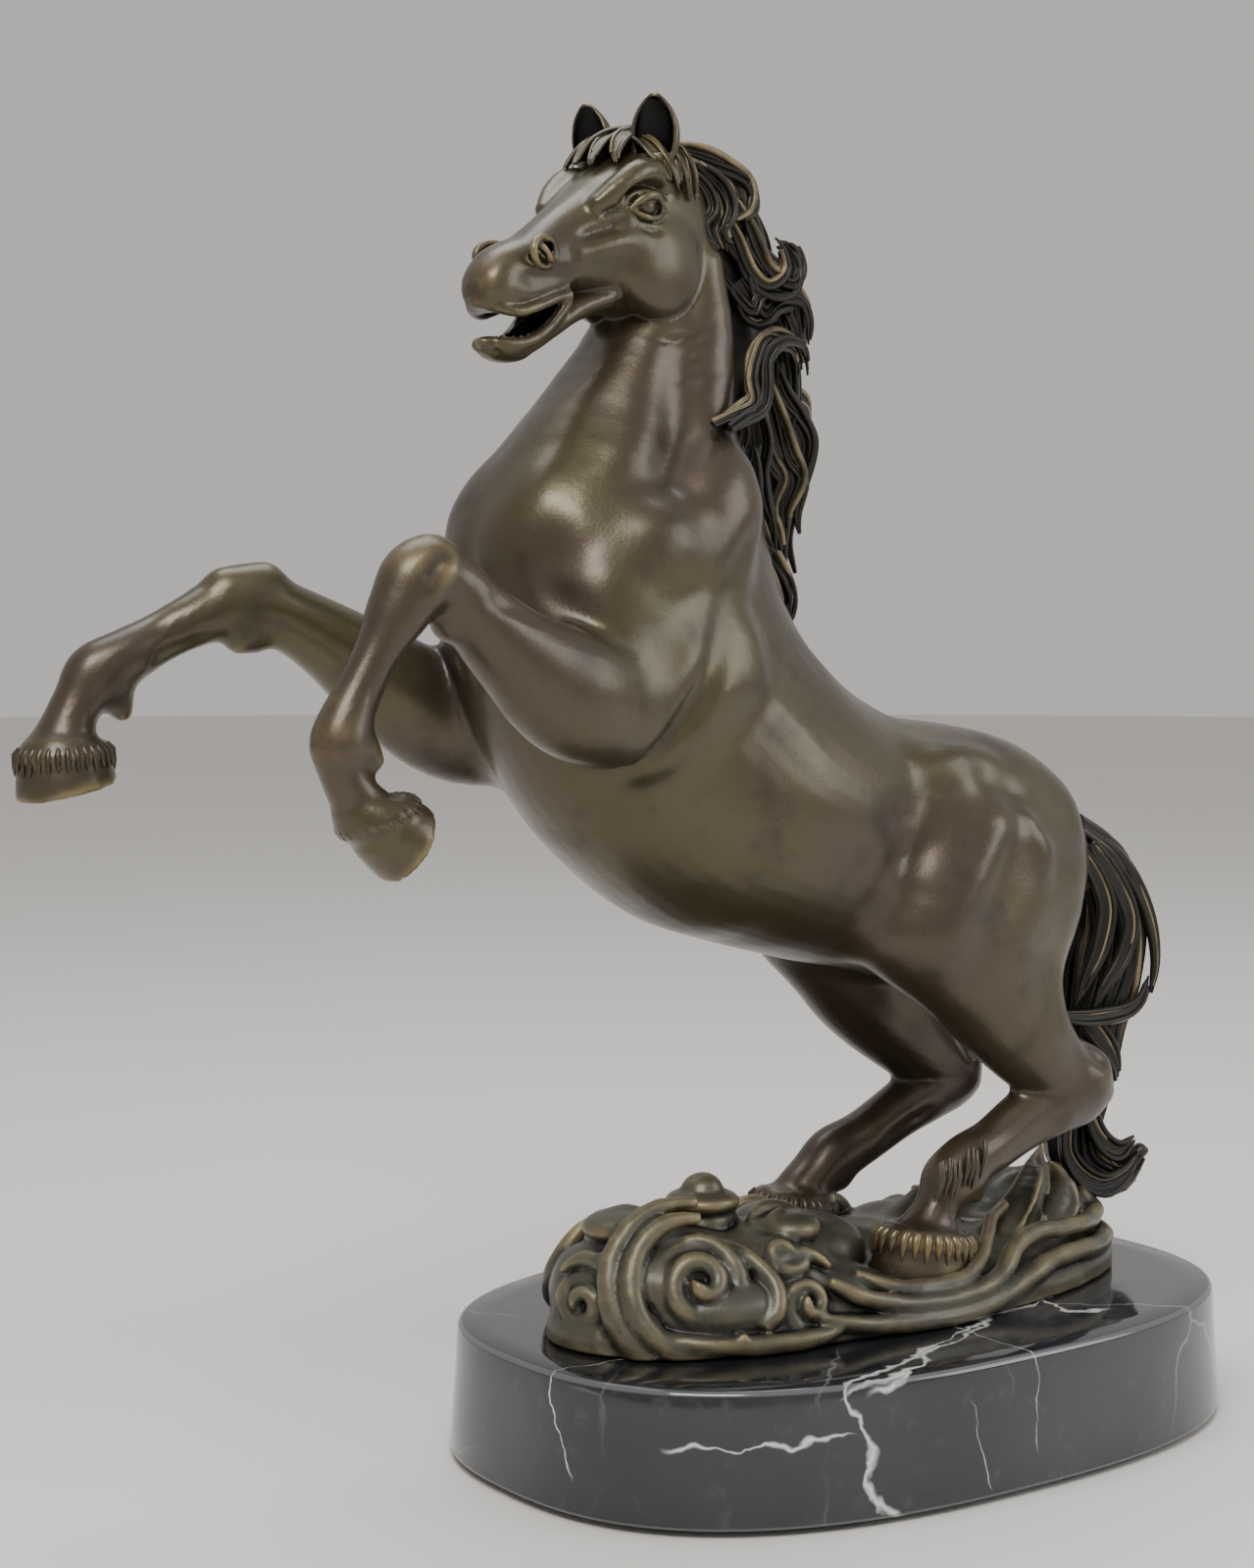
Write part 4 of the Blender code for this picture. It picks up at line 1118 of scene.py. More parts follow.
# %% Scrolls
SCROLLS = (
    ((-58, -21, 44.5), (-0.30, -0.86, 0.42), 11.5, 1.8, -1, 100),
    ((-35, -28.5, 38.5), (-0.10, -0.93, 0.34), 8.6, 1.8, -1, 60),
    ((-63, 0, 53.5), (-0.30, -0.45, 0.84), 8.5, 1.2, 1, 200),
    ((-42, -1, 55.5), (-0.10, -0.35, 0.93), 8.0, 1.1, 1, 180),
    ((-30, -14, 52.5), (-0.05, -0.50, 0.86), 7.5, 1.2, -1, 150),
    ((-37, -23, 48.5), (-0.15, -0.70, 0.70), 5.6, 1.1, -1, 20),
    ((-76, -4, 40.0), (-0.93, -0.35, 0.15), 7.0, 1.3, 1, 120),
    ((-73, -15, 35.5), (-0.75, -0.64, 0.15), 5.0, 1.2, -1, 200),
    ((-57, 23, 43), (-0.30, 0.86, 0.40), 9.0, 1.4, 1, 40),
    ((-36, 27, 40), (0.0, 0.93, 0.36), 8.0, 1.4, -1, 160),
    ((-14, 24, 43), (0.10, 0.80, 0.60), 7.0, 1.3, 1, 250),
    ((12, 28, 38), (0.05, 0.90, 0.42), 7.5, 1.4, -1, 80),
    ((38, 26, 38), (0.15, 0.86, 0.46), 7.5, 1.4, 1, 300),
    ((60, 18, 41), (0.45, 0.75, 0.48), 7.0, 1.3, -1, 10),
    ((69, -8, 44.0), (0.45, -0.65, 0.60), 5.0, 1.1, 1, 200),
    ((-10, 6, 45), (-0.1, -0.2, 0.97), 8.0, 1.2, -1, 120),
)


def scroll(centre, facing, radius, turns, hand, start):
    """Put one scroll on the cloud, with its dome, ridge and outer folds."""
    centre = np.array(centre, float)
    facing = unit(np.array(facing))
    across = unit(np.cross([0, 0, 1.0], facing))
    if abs(facing[2]) > 0.95:
        across = np.array([1.0, 0, 0])
    upward = np.cross(facing, across)
    pitch = 0.80 * radius / turns
    dome = [centre + facing * rise * radius for rise in (-0.8, -0.3, -0.06, 0.02, 0.08)]
    sizes = np.array((0.8, 1.0, 0.9, 0.6, 0.2)) * radius
    put_mesh(cloud, tube(np.column_stack([dome, sizes]), 40), 1.5)
    count = int(20 * turns) + 1
    turn = math.radians(start) + hand * np.linspace(0, 2 * math.pi * turns, count)
    share = np.linspace(0, 1, count)
    out = radius * (0.90 - 0.80 * share ** 0.9)
    rise = radius * (0.46 * share - 0.05) - 0.22 * pitch
    path = (centre + np.outer(out * np.cos(turn), across) + np.outer(out * np.sin(turn), upward)
            + np.outer(rise, facing))
    thick = pitch * (0.60 - 0.24 * share) * np.clip(share * 6 + 0.35, 0, 1)
    put_mesh(cloud, tube(np.column_stack([path, thick]), 14), 0.35)
    folds = 2 if radius > 11 else 1 if facing[2] < 0.6 else 0
    for wider, lower in ((1.30, -0.14), (1.64, -0.36))[:folds]:
        turn = math.radians(start) - hand * np.radians(np.linspace(-20, 200, 18))
        shape = np.sin(np.linspace(0.2, math.pi - 0.2, 18)) ** 0.6
        path = (centre + np.outer(radius * wider * np.cos(turn), across)
                + np.outer(radius * wider * np.sin(turn), upward) + lower * radius * facing)
        put_mesh(cloud, tube(np.column_stack([path, pitch * 0.58 * shape]), 12), 0.8)


KNOBS = (
    ((-63, 0, 54), (9.0, 9.0, 3.6)), ((-43, -2, 57.5), (8.5, 8, 3.0)),
    ((-43, -2, 60), (4.6, 4.6, 3.6)), ((-29, -15, 52), (7, 7, 3.6)), ((-20, 4, 49), (8, 8, 4)),
)
CAST_DOT = (-53.5, -30.2, 34.6)        # a small round bead left by the casting
for settings in SCROLLS:
    scroll(*settings)
put_ball(cloud, CAST_DOT, (1.1, 1.1, 1.1), 0.2)
for centre, half_sizes in KNOBS:
    put_ball(cloud, centre, half_sizes, 1.0)
print(len(SCROLLS), "scrolls and", len(KNOBS), "knobs")

# %% [markdown]
# Waves run along the sides of the base and up under the near hind hoof.  Each one shows
# as a rolled edge, so it is a tube along a drawn line that swells and thins.

# %% Waves
WAVES = (                      # x, y, z and radius
    ((-30, -30, 44, 0.9), (-24, -33, 40.5, 1.3), (-16, -34, 38, 1.5), (-8, -35, 36.6, 1.6),
     (2, -35.5, 36.4, 1.6), (12, -34.5, 37.4, 1.6), (20, -32, 40, 1.6), (26, -29, 43.5, 1.6),
     (34, -27, 45.3, 1.5), (46, -25, 44.6, 1.5), (58, -20, 43.6, 1.5), (68, -13, 43.4, 1.4),
     (76, -4, 43, 1)),
    ((-34, -32, 37, 0.9), (-27, -34, 35, 1.3), (-18, -35, 33.8, 1.5), (-8, -36, 33.2, 1.6),
     (4, -36.2, 33.2, 1.6), (15, -35, 34.2, 1.6), (26, -32.5, 36.6, 1.6), (36, -30, 39, 1.6),
     (48, -27, 39.4, 1.6), (60, -22, 38.6, 1.5), (70, -14, 38.2, 1.4), (77, -3, 38, 1.2)),
    ((-20, -27, 43.5, 0.8), (-13, -31.5, 40.5, 1.2), (-4, -33, 39.6, 1.4), (6, -33, 39.8, 1.4),
     (14, -30, 42.2, 1.3), (20, -26, 45.5, 1.2), (27, -20, 48.2, 1.1), (36, -15, 49.6, 0.9)),
    ((-70, -17, 36, 0.8), (-64, -24, 34.5, 1.3), (-55, -29, 33.6, 1.5), (-45, -32, 33.2, 1.5),
     (-36, -33.5, 33.4, 1.3), (-30, -34, 34.5, 0.8)),
    ((-50, -16, 53, 0.8), (-46, -22, 50, 1.2), (-43, -27, 45, 1.4), (-44, -30, 40, 1.4),
     (-48, -30, 36.5, 1)),
    ((-16, 30, 36, 0.9), (-2, 32, 34.6, 1.4), (14, 32.5, 34, 1.5), (32, 31.5, 34, 1.5),
     (50, 27, 34.4, 1.4), (66, 18, 35, 1.2), (76, 6, 36, 0.9)),
    ((-68, 18, 37, 0.9), (-58, 27, 35, 1.4), (-44, 31.5, 34, 1.5), (-28, 33, 34, 1.4),
     (-16, 32, 35, 0.9)),
)
WAVE_FATTER = 1.45
WAVE_SUNK = 0.8
for rows in WAVES:
    path = smooth_path(rows, 5)
    path[:, 3] *= WAVE_FATTER
    path[:, 2] -= WAVE_SUNK
    put_mesh(cloud, tube(path, 14), 1.2)
print(len(WAVES), "waves")

# %% [markdown]
# Behind the near hoof the cloud licks up like flames: tapering chains of beads, with a
# few raised folds drawn up them.  A slow unevenness then softens the whole base.

# %% Crests
CRESTS = (                     # x, y, z and radius
    ((38, -12, 40, 6), (45, -11, 46, 5), (50, -9, 51, 3.6), (54, -7, 55.5, 1.9), (56.5, -6, 58.6, 0.7)),
    ((56, -8, 40, 6), (60, -8, 46, 4.4), (61, -7, 50.5, 2.6), (60, -6, 53.6, 0.8)),
    ((50, 8, 40, 6), (58, 8, 45, 5), (66, 5, 48, 3.4), (72, 3, 50.5, 1.0)),
    ((28, 12, 38, 6), (34, 13, 43, 4.4), (36, 14, 47.5, 1.2)),
)
CREST_FOLDS = (
    ((36, -18, 41), (42, -17.5, 47), (48, -14, 52), (54, -9, 57)),
    ((46, -16, 40), (51, -15, 46), (54, -11, 51), (56, -8, 57)),
    ((56, -15, 40), (62, -13, 46), (62, -9, 51)),
    ((64, -12, 40), (68, -8, 45), (70, -3, 49)),
)
for rows in CRESTS:
    put_beads(cloud, rows, 3.0)
for rows in CREST_FOLDS:
    stroke(cloud, rows, 1.3, 1.2, 0.2)
hand_worked(cloud, 0.35, 9.0, 11)

# %% [markdown]
# The hooves stand in the cloud, so the horse's own grid is read here and cut away with a
# little spare, and the underside is planed flat on the marble.

# %% Finish the base
HOOF_SPARE = 0.12
CLOUD_FOOT = 30.3              # 0.3 mm above the top of the marble
where, places = cell_points(cloud, [(-20, -36, 28), (62, 36, 64)])
horse = reading(body, *places.T).reshape(cloud.d[where].shape)
cloud.cut(where, (horse - HOOF_SPARE).astype(np.float32), 0.0)
heights = ((np.arange(cloud.size[2]) + cloud.first[2]) * CLOUD_CELL).astype(np.float32)
cloud.d = np.maximum(cloud.d, CLOUD_FOOT - heights[None, None, :])
points, quads = surface_of(cloud, 1)
relief = relief_of(points, edges_of(quads), normals_of(points, quads), 16, 0.42)
base = mesh_piece("cloud_bronze", points, quads, CLOUD_BRONZE, ("cloud_base",), None,
                  {"relief": relief})

# %% [markdown]
# ## Hair
#
# Cast hair is a bundle of tapering rods with grooves between them.  Drawing hundreds by
# hand is slow, so each lock is one line, spread into strands side by side, and Geometry
# Nodes sweeps a grooved profile along them all: Curve to Mesh takes each point's radius
# as its scale.  Every few strands one is an edge that polishing has worn to brass.

# %% Strands by Geometry Nodes
def strand_tree():
    """Sweep a grooved profile along curves; every few of them is worn bright."""
    tree = bpy.data.node_groups.new("cast_strands", "GeometryNodeTree")
    inputs = (("Strands", "NodeSocketGeometry", None), ("Profile Points", "NodeSocketInt", 4),
              ("Groove Depth", "NodeSocketFloat", 0.72), ("Edge Every", "NodeSocketInt", 7),
              ("Edge Wear", "NodeSocketFloat", 1.0), ("Finish", "NodeSocketMaterial", None))
    for label, kind, value in inputs:
        socket = tree.interface.new_socket(label, in_out="INPUT", socket_type=kind)
        if value is not None:
            socket.default_value = value
    tree.interface.new_socket("Hair", in_out="OUTPUT", socket_type="NodeSocketGeometry")
    link = tree.links.new

    def add(kind, **settings):
        node = tree.nodes.new(kind)
        for key, value in settings.items():
            setattr(node, key, value)
        return node

    given = add("NodeGroupInput").outputs
    star = add("GeometryNodeCurveStar")
    link(given["Profile Points"], star.inputs["Points"])
    link(given["Groove Depth"], star.inputs["Inner Radius"])
    star.inputs["Outer Radius"].default_value = 1.0
    place = add("ShaderNodeMath", operation="MODULO")
    link(add("GeometryNodeInputIndex").outputs[0], place.inputs[0])
    link(given["Edge Every"], place.inputs[1])
    first = add("ShaderNodeMath", operation="LESS_THAN")
    link(place.outputs[0], first.inputs[0])
    first.inputs[1].default_value = 0.5
    wear = add("ShaderNodeMapRange")
    link(first.outputs[0], wear.inputs[0])
    wear.inputs[3].default_value = -0.28
    link(given["Edge Wear"], wear.inputs[4])
    store = add("GeometryNodeStoreNamedAttribute", domain="CURVE", data_type="FLOAT")
    link(given["Strands"], store.inputs["Geometry"])
    store.inputs["Name"].default_value = "relief"
    link(wear.outputs[0], store.inputs["Value"])
    sweep = add("GeometryNodeCurveToMesh")
    link(store.outputs[0], sweep.inputs["Curve"])
    link(star.outputs[0], sweep.inputs["Profile Curve"])
    link(add("GeometryNodeInputRadius").outputs[0], sweep.inputs["Scale"])
    sweep.inputs["Fill Caps"].default_value = True
    smooth = add("GeometryNodeSetShadeSmooth")
    link(sweep.outputs[0], smooth.inputs[0])
    finish = add("GeometryNodeSetMaterial")
    link(smooth.outputs[0], finish.inputs["Geometry"])
    link(given["Finish"], finish.inputs["Material"])
    link(finish.outputs[0], add("NodeGroupOutput").inputs[0])
    return tree


STRANDS = strand_tree()
print("strand tree:", len(STRANDS.nodes), "nodes")

# %% [markdown]
# A tree is used through a modifier, whose inputs are set by their identifiers.  Then the
# evaluated object is turned into a plain mesh and the modifier goes with its object, so
# what is left is an ordinary piece.  The source is a curve object with a spline for each
# strand, whose points carry the radius.

# %% Running a tree
def nodes_piece(name, source, tree, settings, body_of=()):
    """Run a node tree on an object, keep the result as a plain mesh piece."""
    modifier = source.modifiers.new("nodes", "NODES")
    modifier.node_group = tree
    for item in tree.interface.items_tree:
        if item.in_out == "INPUT" and item.name in settings:
            modifier[item.identifier] = settings[item.name]
    bpy.context.view_layer.update()
    evaluated = source.evaluated_get(bpy.context.evaluated_depsgraph_get())
    mesh = bpy.data.meshes.new_from_object(evaluated)
    mesh.name = name
    bpy.data.objects.remove(source)
    piece = bpy.data.objects.new(name, mesh)
    bpy.context.scene.collection.objects.link(piece)
    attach(piece, "root")
    if body_of:
        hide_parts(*body_of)
    print(f"{name}: {len(mesh.polygons)} faces")
    return piece


def curve_object(name, strands):
    """One curve with a spline for each strand, a row of x, y, z and radius in mm."""
    data = bpy.data.curves.new(name, "CURVE")
    data.dimensions = "3D"
    for rows in strands:
        spline = data.splines.new("POLY")
        spline.points.add(len(rows) - 1)
        places = np.column_stack([rows[:, :3] * MM, np.ones(len(rows))])
        spline.points.foreach_set("co", places.ravel())
        spline.points.foreach_set("radius", rows[:, 3] * MM)
    obj = bpy.data.objects.new(name, data)
    bpy.context.scene.collection.objects.link(obj)
    return obj

# %% [markdown]
# A lock spreads its strands across its width, widest in the middle and gathered at the
# tip, and rolls them over a little so that the lock has a rounded face.

# %% Locks
def evenly(path, count):
    """The same line with points at equal steps."""
    run = np.concatenate([[0], np.cumsum(np.linalg.norm(np.diff(path[:, :3], axis=0), axis=1))])
    at = np.linspace(0, run[-1], count)
    return np.stack([np.interp(at, run, path[:, k]) for k in range(path.shape[1])], 1)


def lock(points, half_width, radius, facing, dice, strands=9, roll=0.8):
    """The strands of one lock, each a row of x, y, z and radius."""
    path = evenly(smooth_path(points, 8), 30)
    along = unit(np.gradient(path, axis=0))
    across = unit(np.cross(along, unit(np.array(facing, float))))
    out = unit(np.cross(across, along))
    share = np.linspace(0, 1, len(path))[:, None]
    width = half_width * (0.55 + 0.45 * np.sin(math.pi * share ** 0.8)) * (1 - 0.75 * share ** 4)
    made = []
    for i in range(strands):
        side = 2 * i / (strands - 1) - 1
        sway = 0.15 * np.sin(share * dice.uniform(5, 8) + dice.uniform(0, 6)) * half_width / 3
        sunk = (math.sqrt(1 - side * side * 0.9) - 1) * -roll
        place = path + across * (side * width + sway) + out * sunk * width
        tip = np.clip((1.04 - share) * 6, 0.2, 1)
        size = 0.82 * radius * (0.75 + 0.25 * np.sin(math.pi * share)) * tip
        short = int(len(path) * dice.uniform(0.86, 1.0))
        made.append(np.column_stack([place, size])[:short])
    return made


# %% [markdown]
# The mane falls in curls down the back of the neck, and one lock blows forward across it.
# Each lock has two thin wisps beside it that stray a little, and most are repeated on the
# far side of the crest.

# %% Mane
MANE_LOCKS = (                 # half width, strand radius, facing, then the points
    (4.2, 1.15, (-0.3, -0.9, 0.4), (
        (-50, 1, 284), (-43, -1, 282), (-37, -1, 280), (-34, -2, 278), (-34, -3, 274), (-38, -5, 271))),
    (3.4, 1.05, (-0.5, -0.9, 0.2), (
        (-49, -3, 281), (-44, -5, 277), (-42, -6, 272), (-44, -7, 268), (-41, -7, 263))),
    (3.4, 1.05, (-0.2, -0.9, 0.4), (
        (-43, 1, 281), (-38, 0, 276), (-35, -1, 270), (-34, -3, 264), (-29, -3, 259))),
    (3.6, 1.10, (-0.3, -0.9, 0.2), (
        (-37, -2, 275), (-33, -3, 267), (-30, -4, 260), (-25, -5, 257.5), (-21, -4, 261),
        (-23, -4, 266), (-27, -5, 266))),
    (3.6, 1.10, (-0.1, -0.9, 0.3), (
        (-31, 3, 268), (-23, 3, 262), (-16, 4, 257), (-12, 5, 252), (-13, 6, 245))),
    (3.4, 1.05, (-0.3, -0.9, 0.3), (
        (-36, -4, 258), (-31, -4, 251), (-27, -4, 254), (-21, -3, 255), (-17, -2, 250), (-16, -1, 245))),
    (2.6, 1.10, (-0.4, -0.9, 0.1), (
        (-53, -20.5, 225), (-47, -20, 228), (-41.5, -18, 230.5), (-38.5, -15, 235), (-36, -12, 241),
        (-29, -8.5, 245.5), (-21, -5, 245), (-16, -2, 241), (-15, 0, 237))),
    (3.4, 1.05, (-0.2, -0.9, 0.2), (
        (-26, 4, 249), (-20, 4, 242), (-16, 5, 236), (-11, 6, 233), (-13, 6, 226))),
    (3.6, 1.10, (-0.3, -0.9, 0.1), (
        (-25, 0, 242), (-22, 0, 234), (-17, 1, 229), (-13, 2, 224), (-14, 3, 216), (-18, 3, 209))),
    (3.8, 1.10, (-0.4, -0.9, 0.1), (
        (-30, -4, 238), (-27, -4, 229), (-24, -4, 221), (-20, -3, 216), (-21, -2, 209), (-19, -1, 203))),
    (3.6, 1.10, (-0.5, -0.85, 0.1), (
        (-35, -7, 232), (-33, -7, 224), (-34, -6, 217), (-32, -6, 210), (-28, -5, 204), (-25, -4, 197))),
    (3.2, 1.00, (-0.5, -0.85, 0.1), (
        (-37, -9, 222), (-37, -9, 214), (-36, -8, 208), (-32, -7, 202), (-29, -6, 198))),
    (2.8, 1.00, (-0.4, -0.9, 0.1), (
        (-30, -3, 206), (-26, -2, 199), (-22, -2, 193), (-20, -1, 188), (-21, -1, 183))),
    (4.0, 1.15, (0.9, -0.2, 0.4), (
        (-44, 3, 284), (-34, 4, 279), (-27, 4, 269), (-22, 5, 259), (-17, 5, 250))),
    (4.0, 1.15, (0.95, 0.0, 0.3), (
        (-34, 6, 272), (-24, 6, 262), (-19, 6, 251), (-18, 6, 240), (-14, 6, 231))),
    (4.0, 1.15, (0.95, 0.0, 0.2), (
        (-28, 3, 255), (-20, 3, 245), (-18, 3, 234), (-18, 4, 223), (-19, 4, 213))),
    (3.8, 1.10, (0.95, 0.1, 0.2), (
        (-24, 2, 232), (-19, 2, 222), (-20, 2, 212), (-21, 1, 202), (-19, 0, 193))),
)
FAR_LOCKS = MANE_LOCKS[1:6] + MANE_LOCKS[7:13]
dice = np.random.default_rng(7)
strands = []
for half_width, radius, facing, points in MANE_LOCKS:
    strands += lock(points, half_width, radius, facing, dice)
    for step in (-0.7, 0.8):
        stray = dice.normal(0, 0.5, (len(points), 3))
        wisp = np.array(points, float) + 1.7 * unit(np.array(facing, float)) + stray
        wisp[:, 0] += step * half_width
        strands += lock(wisp, 0.9, 0.85, facing, dice, 3)
for half_width, radius, facing, points in FAR_LOCKS:
    far = np.array(points, float)
    far[:, 1] = 7.5 - 0.8 * far[:, 1]
    far[:, 0] += 0.6
    far[:, 2] -= 2.0
    strands += lock(far, half_width * 1.1, radius, (facing[0], 0.9, facing[2]), dice)
print("mane:", len(strands), "strands")
HAIR_LOOK = {"Edge Every": 9, "Edge Wear": 0.95, "Finish": HAIR_BRONZE}
nodes_piece("mane_locks", curve_object("mane_lines", strands), STRANDS, HAIR_LOOK)

# %% [markdown]
# Under the locks of the mane and the tail is a dark core, a plain loft with an uneven skin,
# so that no light shows between the strands.  Its relief is lowered, which darkens it as
# painted shade.

# %% Cores of the mane and tail
MANE_CORE = (
    (-54, 3, 282, 3.5, 4), (-45, 4, 279, 6, 5.5), (-38, 4, 269, 7.5, 6), (-33, 4, 257, 8.5, 6.5),
    (-30, 4, 243, 9, 6.5), (-29, 4, 229, 9, 6), (-29, 3, 215, 8, 5.5), (-26, 1, 202, 6.5, 4.5),
    (-21, 0, 190, 3, 3),
)
TAIL = (
    (73, 4, 133, 5, 6), (86, 5, 124, 7, 8), (91, 6, 110, 9.5, 9), (89, 6, 97, 11.5, 9), (85, 6, 85, 10, 8),
    (83, 6, 72, 8, 7), (79, 6, 60, 7.5, 7), (79, 4, 51, 7, 6), (87, 0, 47, 5, 5), (94, -4, 54, 2.0, 2.2))
TAIL_CORE = [(x, y, z, depth * 0.84, width * 0.84) for x, y, z, depth, width in TAIL]


def core(name, rows, cell, node, box):
    """A piece of hair darkened with painted shade, from rows of x, y, z, half depth and half width."""
    wax = Wax(box[0], box[1], cell)
    put_mesh(wax, limb(rows, 6, 32))
    hand_worked(wax, 0.8, 5.0, 3)
    points, quads = surface_of(wax)
    # painted shade: the relief is lowered by 0.35, so the core between the strands is darker
    values = relief_of(points, edges_of(quads), normals_of(points, quads), 10, 0.3) - 0.35
    piece = mesh_piece(name, points, quads, HAIR_BRONZE, (node,), None, {"relief": values})


core("mane_core", MANE_CORE, 0.8, "mane", ((-64, -10, 180), (-12, 18, 292)))
core("tail_core", TAIL_CORE, 0.8, "tail", ((60, -16, 36), (106, 22, 142)))

# %% [markdown]
# The tail's strands run all round its loft with a slow twist.  Over them lie a few loose
# locks, one of which sweeps right across the tail, and the ends curl up above the base.

# %% Tail
def wrapped(rows, count, radius, twist, dice, share):
    """Strands that run along the skin of a loft."""
    rows = evenly(smooth_path(rows, 8), 48)
    along = unit(np.gradient(rows[:, :3], axis=0))
    side = unit(np.array([0, 1.0, 0]) - along * along[:, 1:2])
    up = np.cross(along, side)
    t = np.linspace(0, 1, len(rows))[:, None]
    made = []
    for i in range(count):
        wander = 0.18 * np.sin(t * dice.uniform(5, 11) + dice.uniform(0, 6))
        turn = 2 * math.pi * i / count + twist * t + wander
        reach = share * (1 + 0.05 * np.sin(t * dice.uniform(9, 16) + dice.uniform(0, 6)))
        across = up * np.cos(turn) * rows[:, 3:4] + side * np.sin(turn) * rows[:, 4:5]
        size = radius * dice.uniform(0.8, 1.15) * np.clip((1.03 - t) * 5, 0.3, 1)
        strand = np.column_stack([rows[:, :3] + reach * across, size])
        made.append(strand[:int(len(rows) * dice.uniform(0.93, 1.0))])
    return made


TAIL_LOCKS = (                 # half width, strand radius, facing, then the points
    (2.2, 1.2, (0.3, -0.9, 0.2), (
        (76, 0, 133), (84, 0, 128), (91, -1, 120), (96, -2, 110), (98.5, -2, 100), (97, -2, 90))),
    (2.4, 1.1, (0.0, -1.0, 0.1), (
        (71, -4, 128), (75, -5, 121), (77, -5.5, 114), (75, -5.5, 105), (71, -5, 97), (69, -4, 90))),
    (2.2, 1.1, (0.1, -1.0, 0.1), (
        (74, -4, 130), (82, -4.5, 120), (86, -5, 111), (83, -5.5, 102), (77, -5.5, 95), (74, -5, 89))),
    (1.6, 1.0, (0.1, -1.0, 0.2), (
        (64, -5, 89), (73, -5.5, 88), (85, -5, 88.5), (93, -3, 91), (98, -1, 97))),
    (2.8, 1.1, (0.2, -1.0, 0.1), ((73, -2, 88), (79, -2, 82), (84, -2, 76), (87, -1, 70))),
    (3.0, 1.1, (0.3, -0.9, 0.2), (
        (74, -2, 69), (76, -2.5, 61), (79, -3.5, 56), (84, -4.5, 54), (90, -5, 57))),
    (3.0, 1.1, (0.3, -0.9, 0.2), (
        (70, -1, 73), (68, -2, 63), (67, -3, 55), (71, -4, 49), (78, -5, 46), (86, -5, 48.5),
        (92, -5, 54))),
)
strands = wrapped(TAIL, 35, 1.35, 0.8, dice, 0.86)
for half_width, radius, facing, points in TAIL_LOCKS:
    strands += lock(points, half_width, radius, facing, dice)
print("tail:", len(strands), "strands")
nodes_piece("tail_locks", curve_object("tail_lines", strands), STRANDS, HAIR_LOOK)

# %% [markdown]
# The forelock falls over the brow and to both sides of it.  Its rows are in the head's own
# frame and are swung round with it, and each lock faces away from the middle of the skull.

# %% Forelock
FORELOCKS = (                  # near side first
    ((-66, -2, 286), (-66.5, -7, 284), (-66, -11, 279.5), (-64.5, -12.4, 275.5)),
    ((-64, -3, 286.3), (-63.5, -8, 284), (-63, -11.6, 279.5), (-61.5, -12.5, 274)),
    ((-61, -3, 286.5), (-60, -8.5, 284), (-59.5, -11.6, 279), (-58, -12.2, 272.5)),
    ((-58, -3, 286), (-57, -8, 284), (-56, -11, 279), (-55, -11.6, 272)),
    ((-57, -1.5, 287), (-63, -2, 287.4), (-69, -3, 285), (-72.5, -4.2, 281.5), (-73.5, -5.5, 279)),
    ((-57, 0.5, 287), (-63, 1, 287.6), (-69.5, 1, 285), (-74, 0.5, 281.3), (-76.5, -0.5, 278.6)),
    ((-57, 2.5, 287), (-63, 4, 287.4), (-69.5, 5, 285), (-73.5, 5, 281.3), (-76, 4.4, 278.6)),
    ((-58, 4, 286.6), (-63, 7, 286.4), (-68, 9, 284), (-72, 9.6, 280.5), (-73.5, 9.6, 278)),
    ((-58, 3, 286), (-58, 8, 284), (-58.5, 11.4, 279), (-58.5, 12, 274)),
)
skull_middle = turned(np.array([-62.0, 0, 272]))
strands = []
for points in FORELOCKS:
    points = turned(np.array(points, float))
    strands += lock(points, 2.1, 0.62, unit(points.mean(0) - skull_middle), dice, 8, 0.6)
nodes_piece("forelock_locks", curve_object("forelock_lines", strands), STRANDS,
            {"Edge Every": 3, "Edge Wear": 0.6, "Finish": BRONZE}, ("forelock",))

# %% [markdown]
# Each hoof has a fringe of short hair along the coronet, and the near hind fetlock has a
# feather of longer hair.  They are strands too, four points long and tapering.  The near
# hind hoof's fringe is polished bright, and the others are left dark.

# %% Coronet fringes and fetlock hair
def fringe_of(hoof, count, length, root, lift=0.5):
    """Short tapering tufts that point down all round a coronet."""
    rim = evenly(ring_at(np.array(hoof[1], float)), count + 1)[:-1]
    middle = rim.mean(0)
    sole = np.array([(hoof[-1][0] + hoof[-1][2]) / 2, hoof[-1][6], (hoof[-1][1] + hoof[-1][3]) / 2])
    down = unit(sole - middle)
    made = []
    for point in rim:
        out = unit(point - middle)
        reach = length * dice.uniform(0.75, 1.2)
        made.append(np.array([[*(point - down * 1.6 - out * 1.0), root],
                              [*(point - down * 0.4 + out * 0.1), root * 1.1],
                              [*(point + down * reach * 0.5 + out * 0.45), root * 0.65],
                              [*(point + down * reach + out * lift), 0.1]]))
    return made


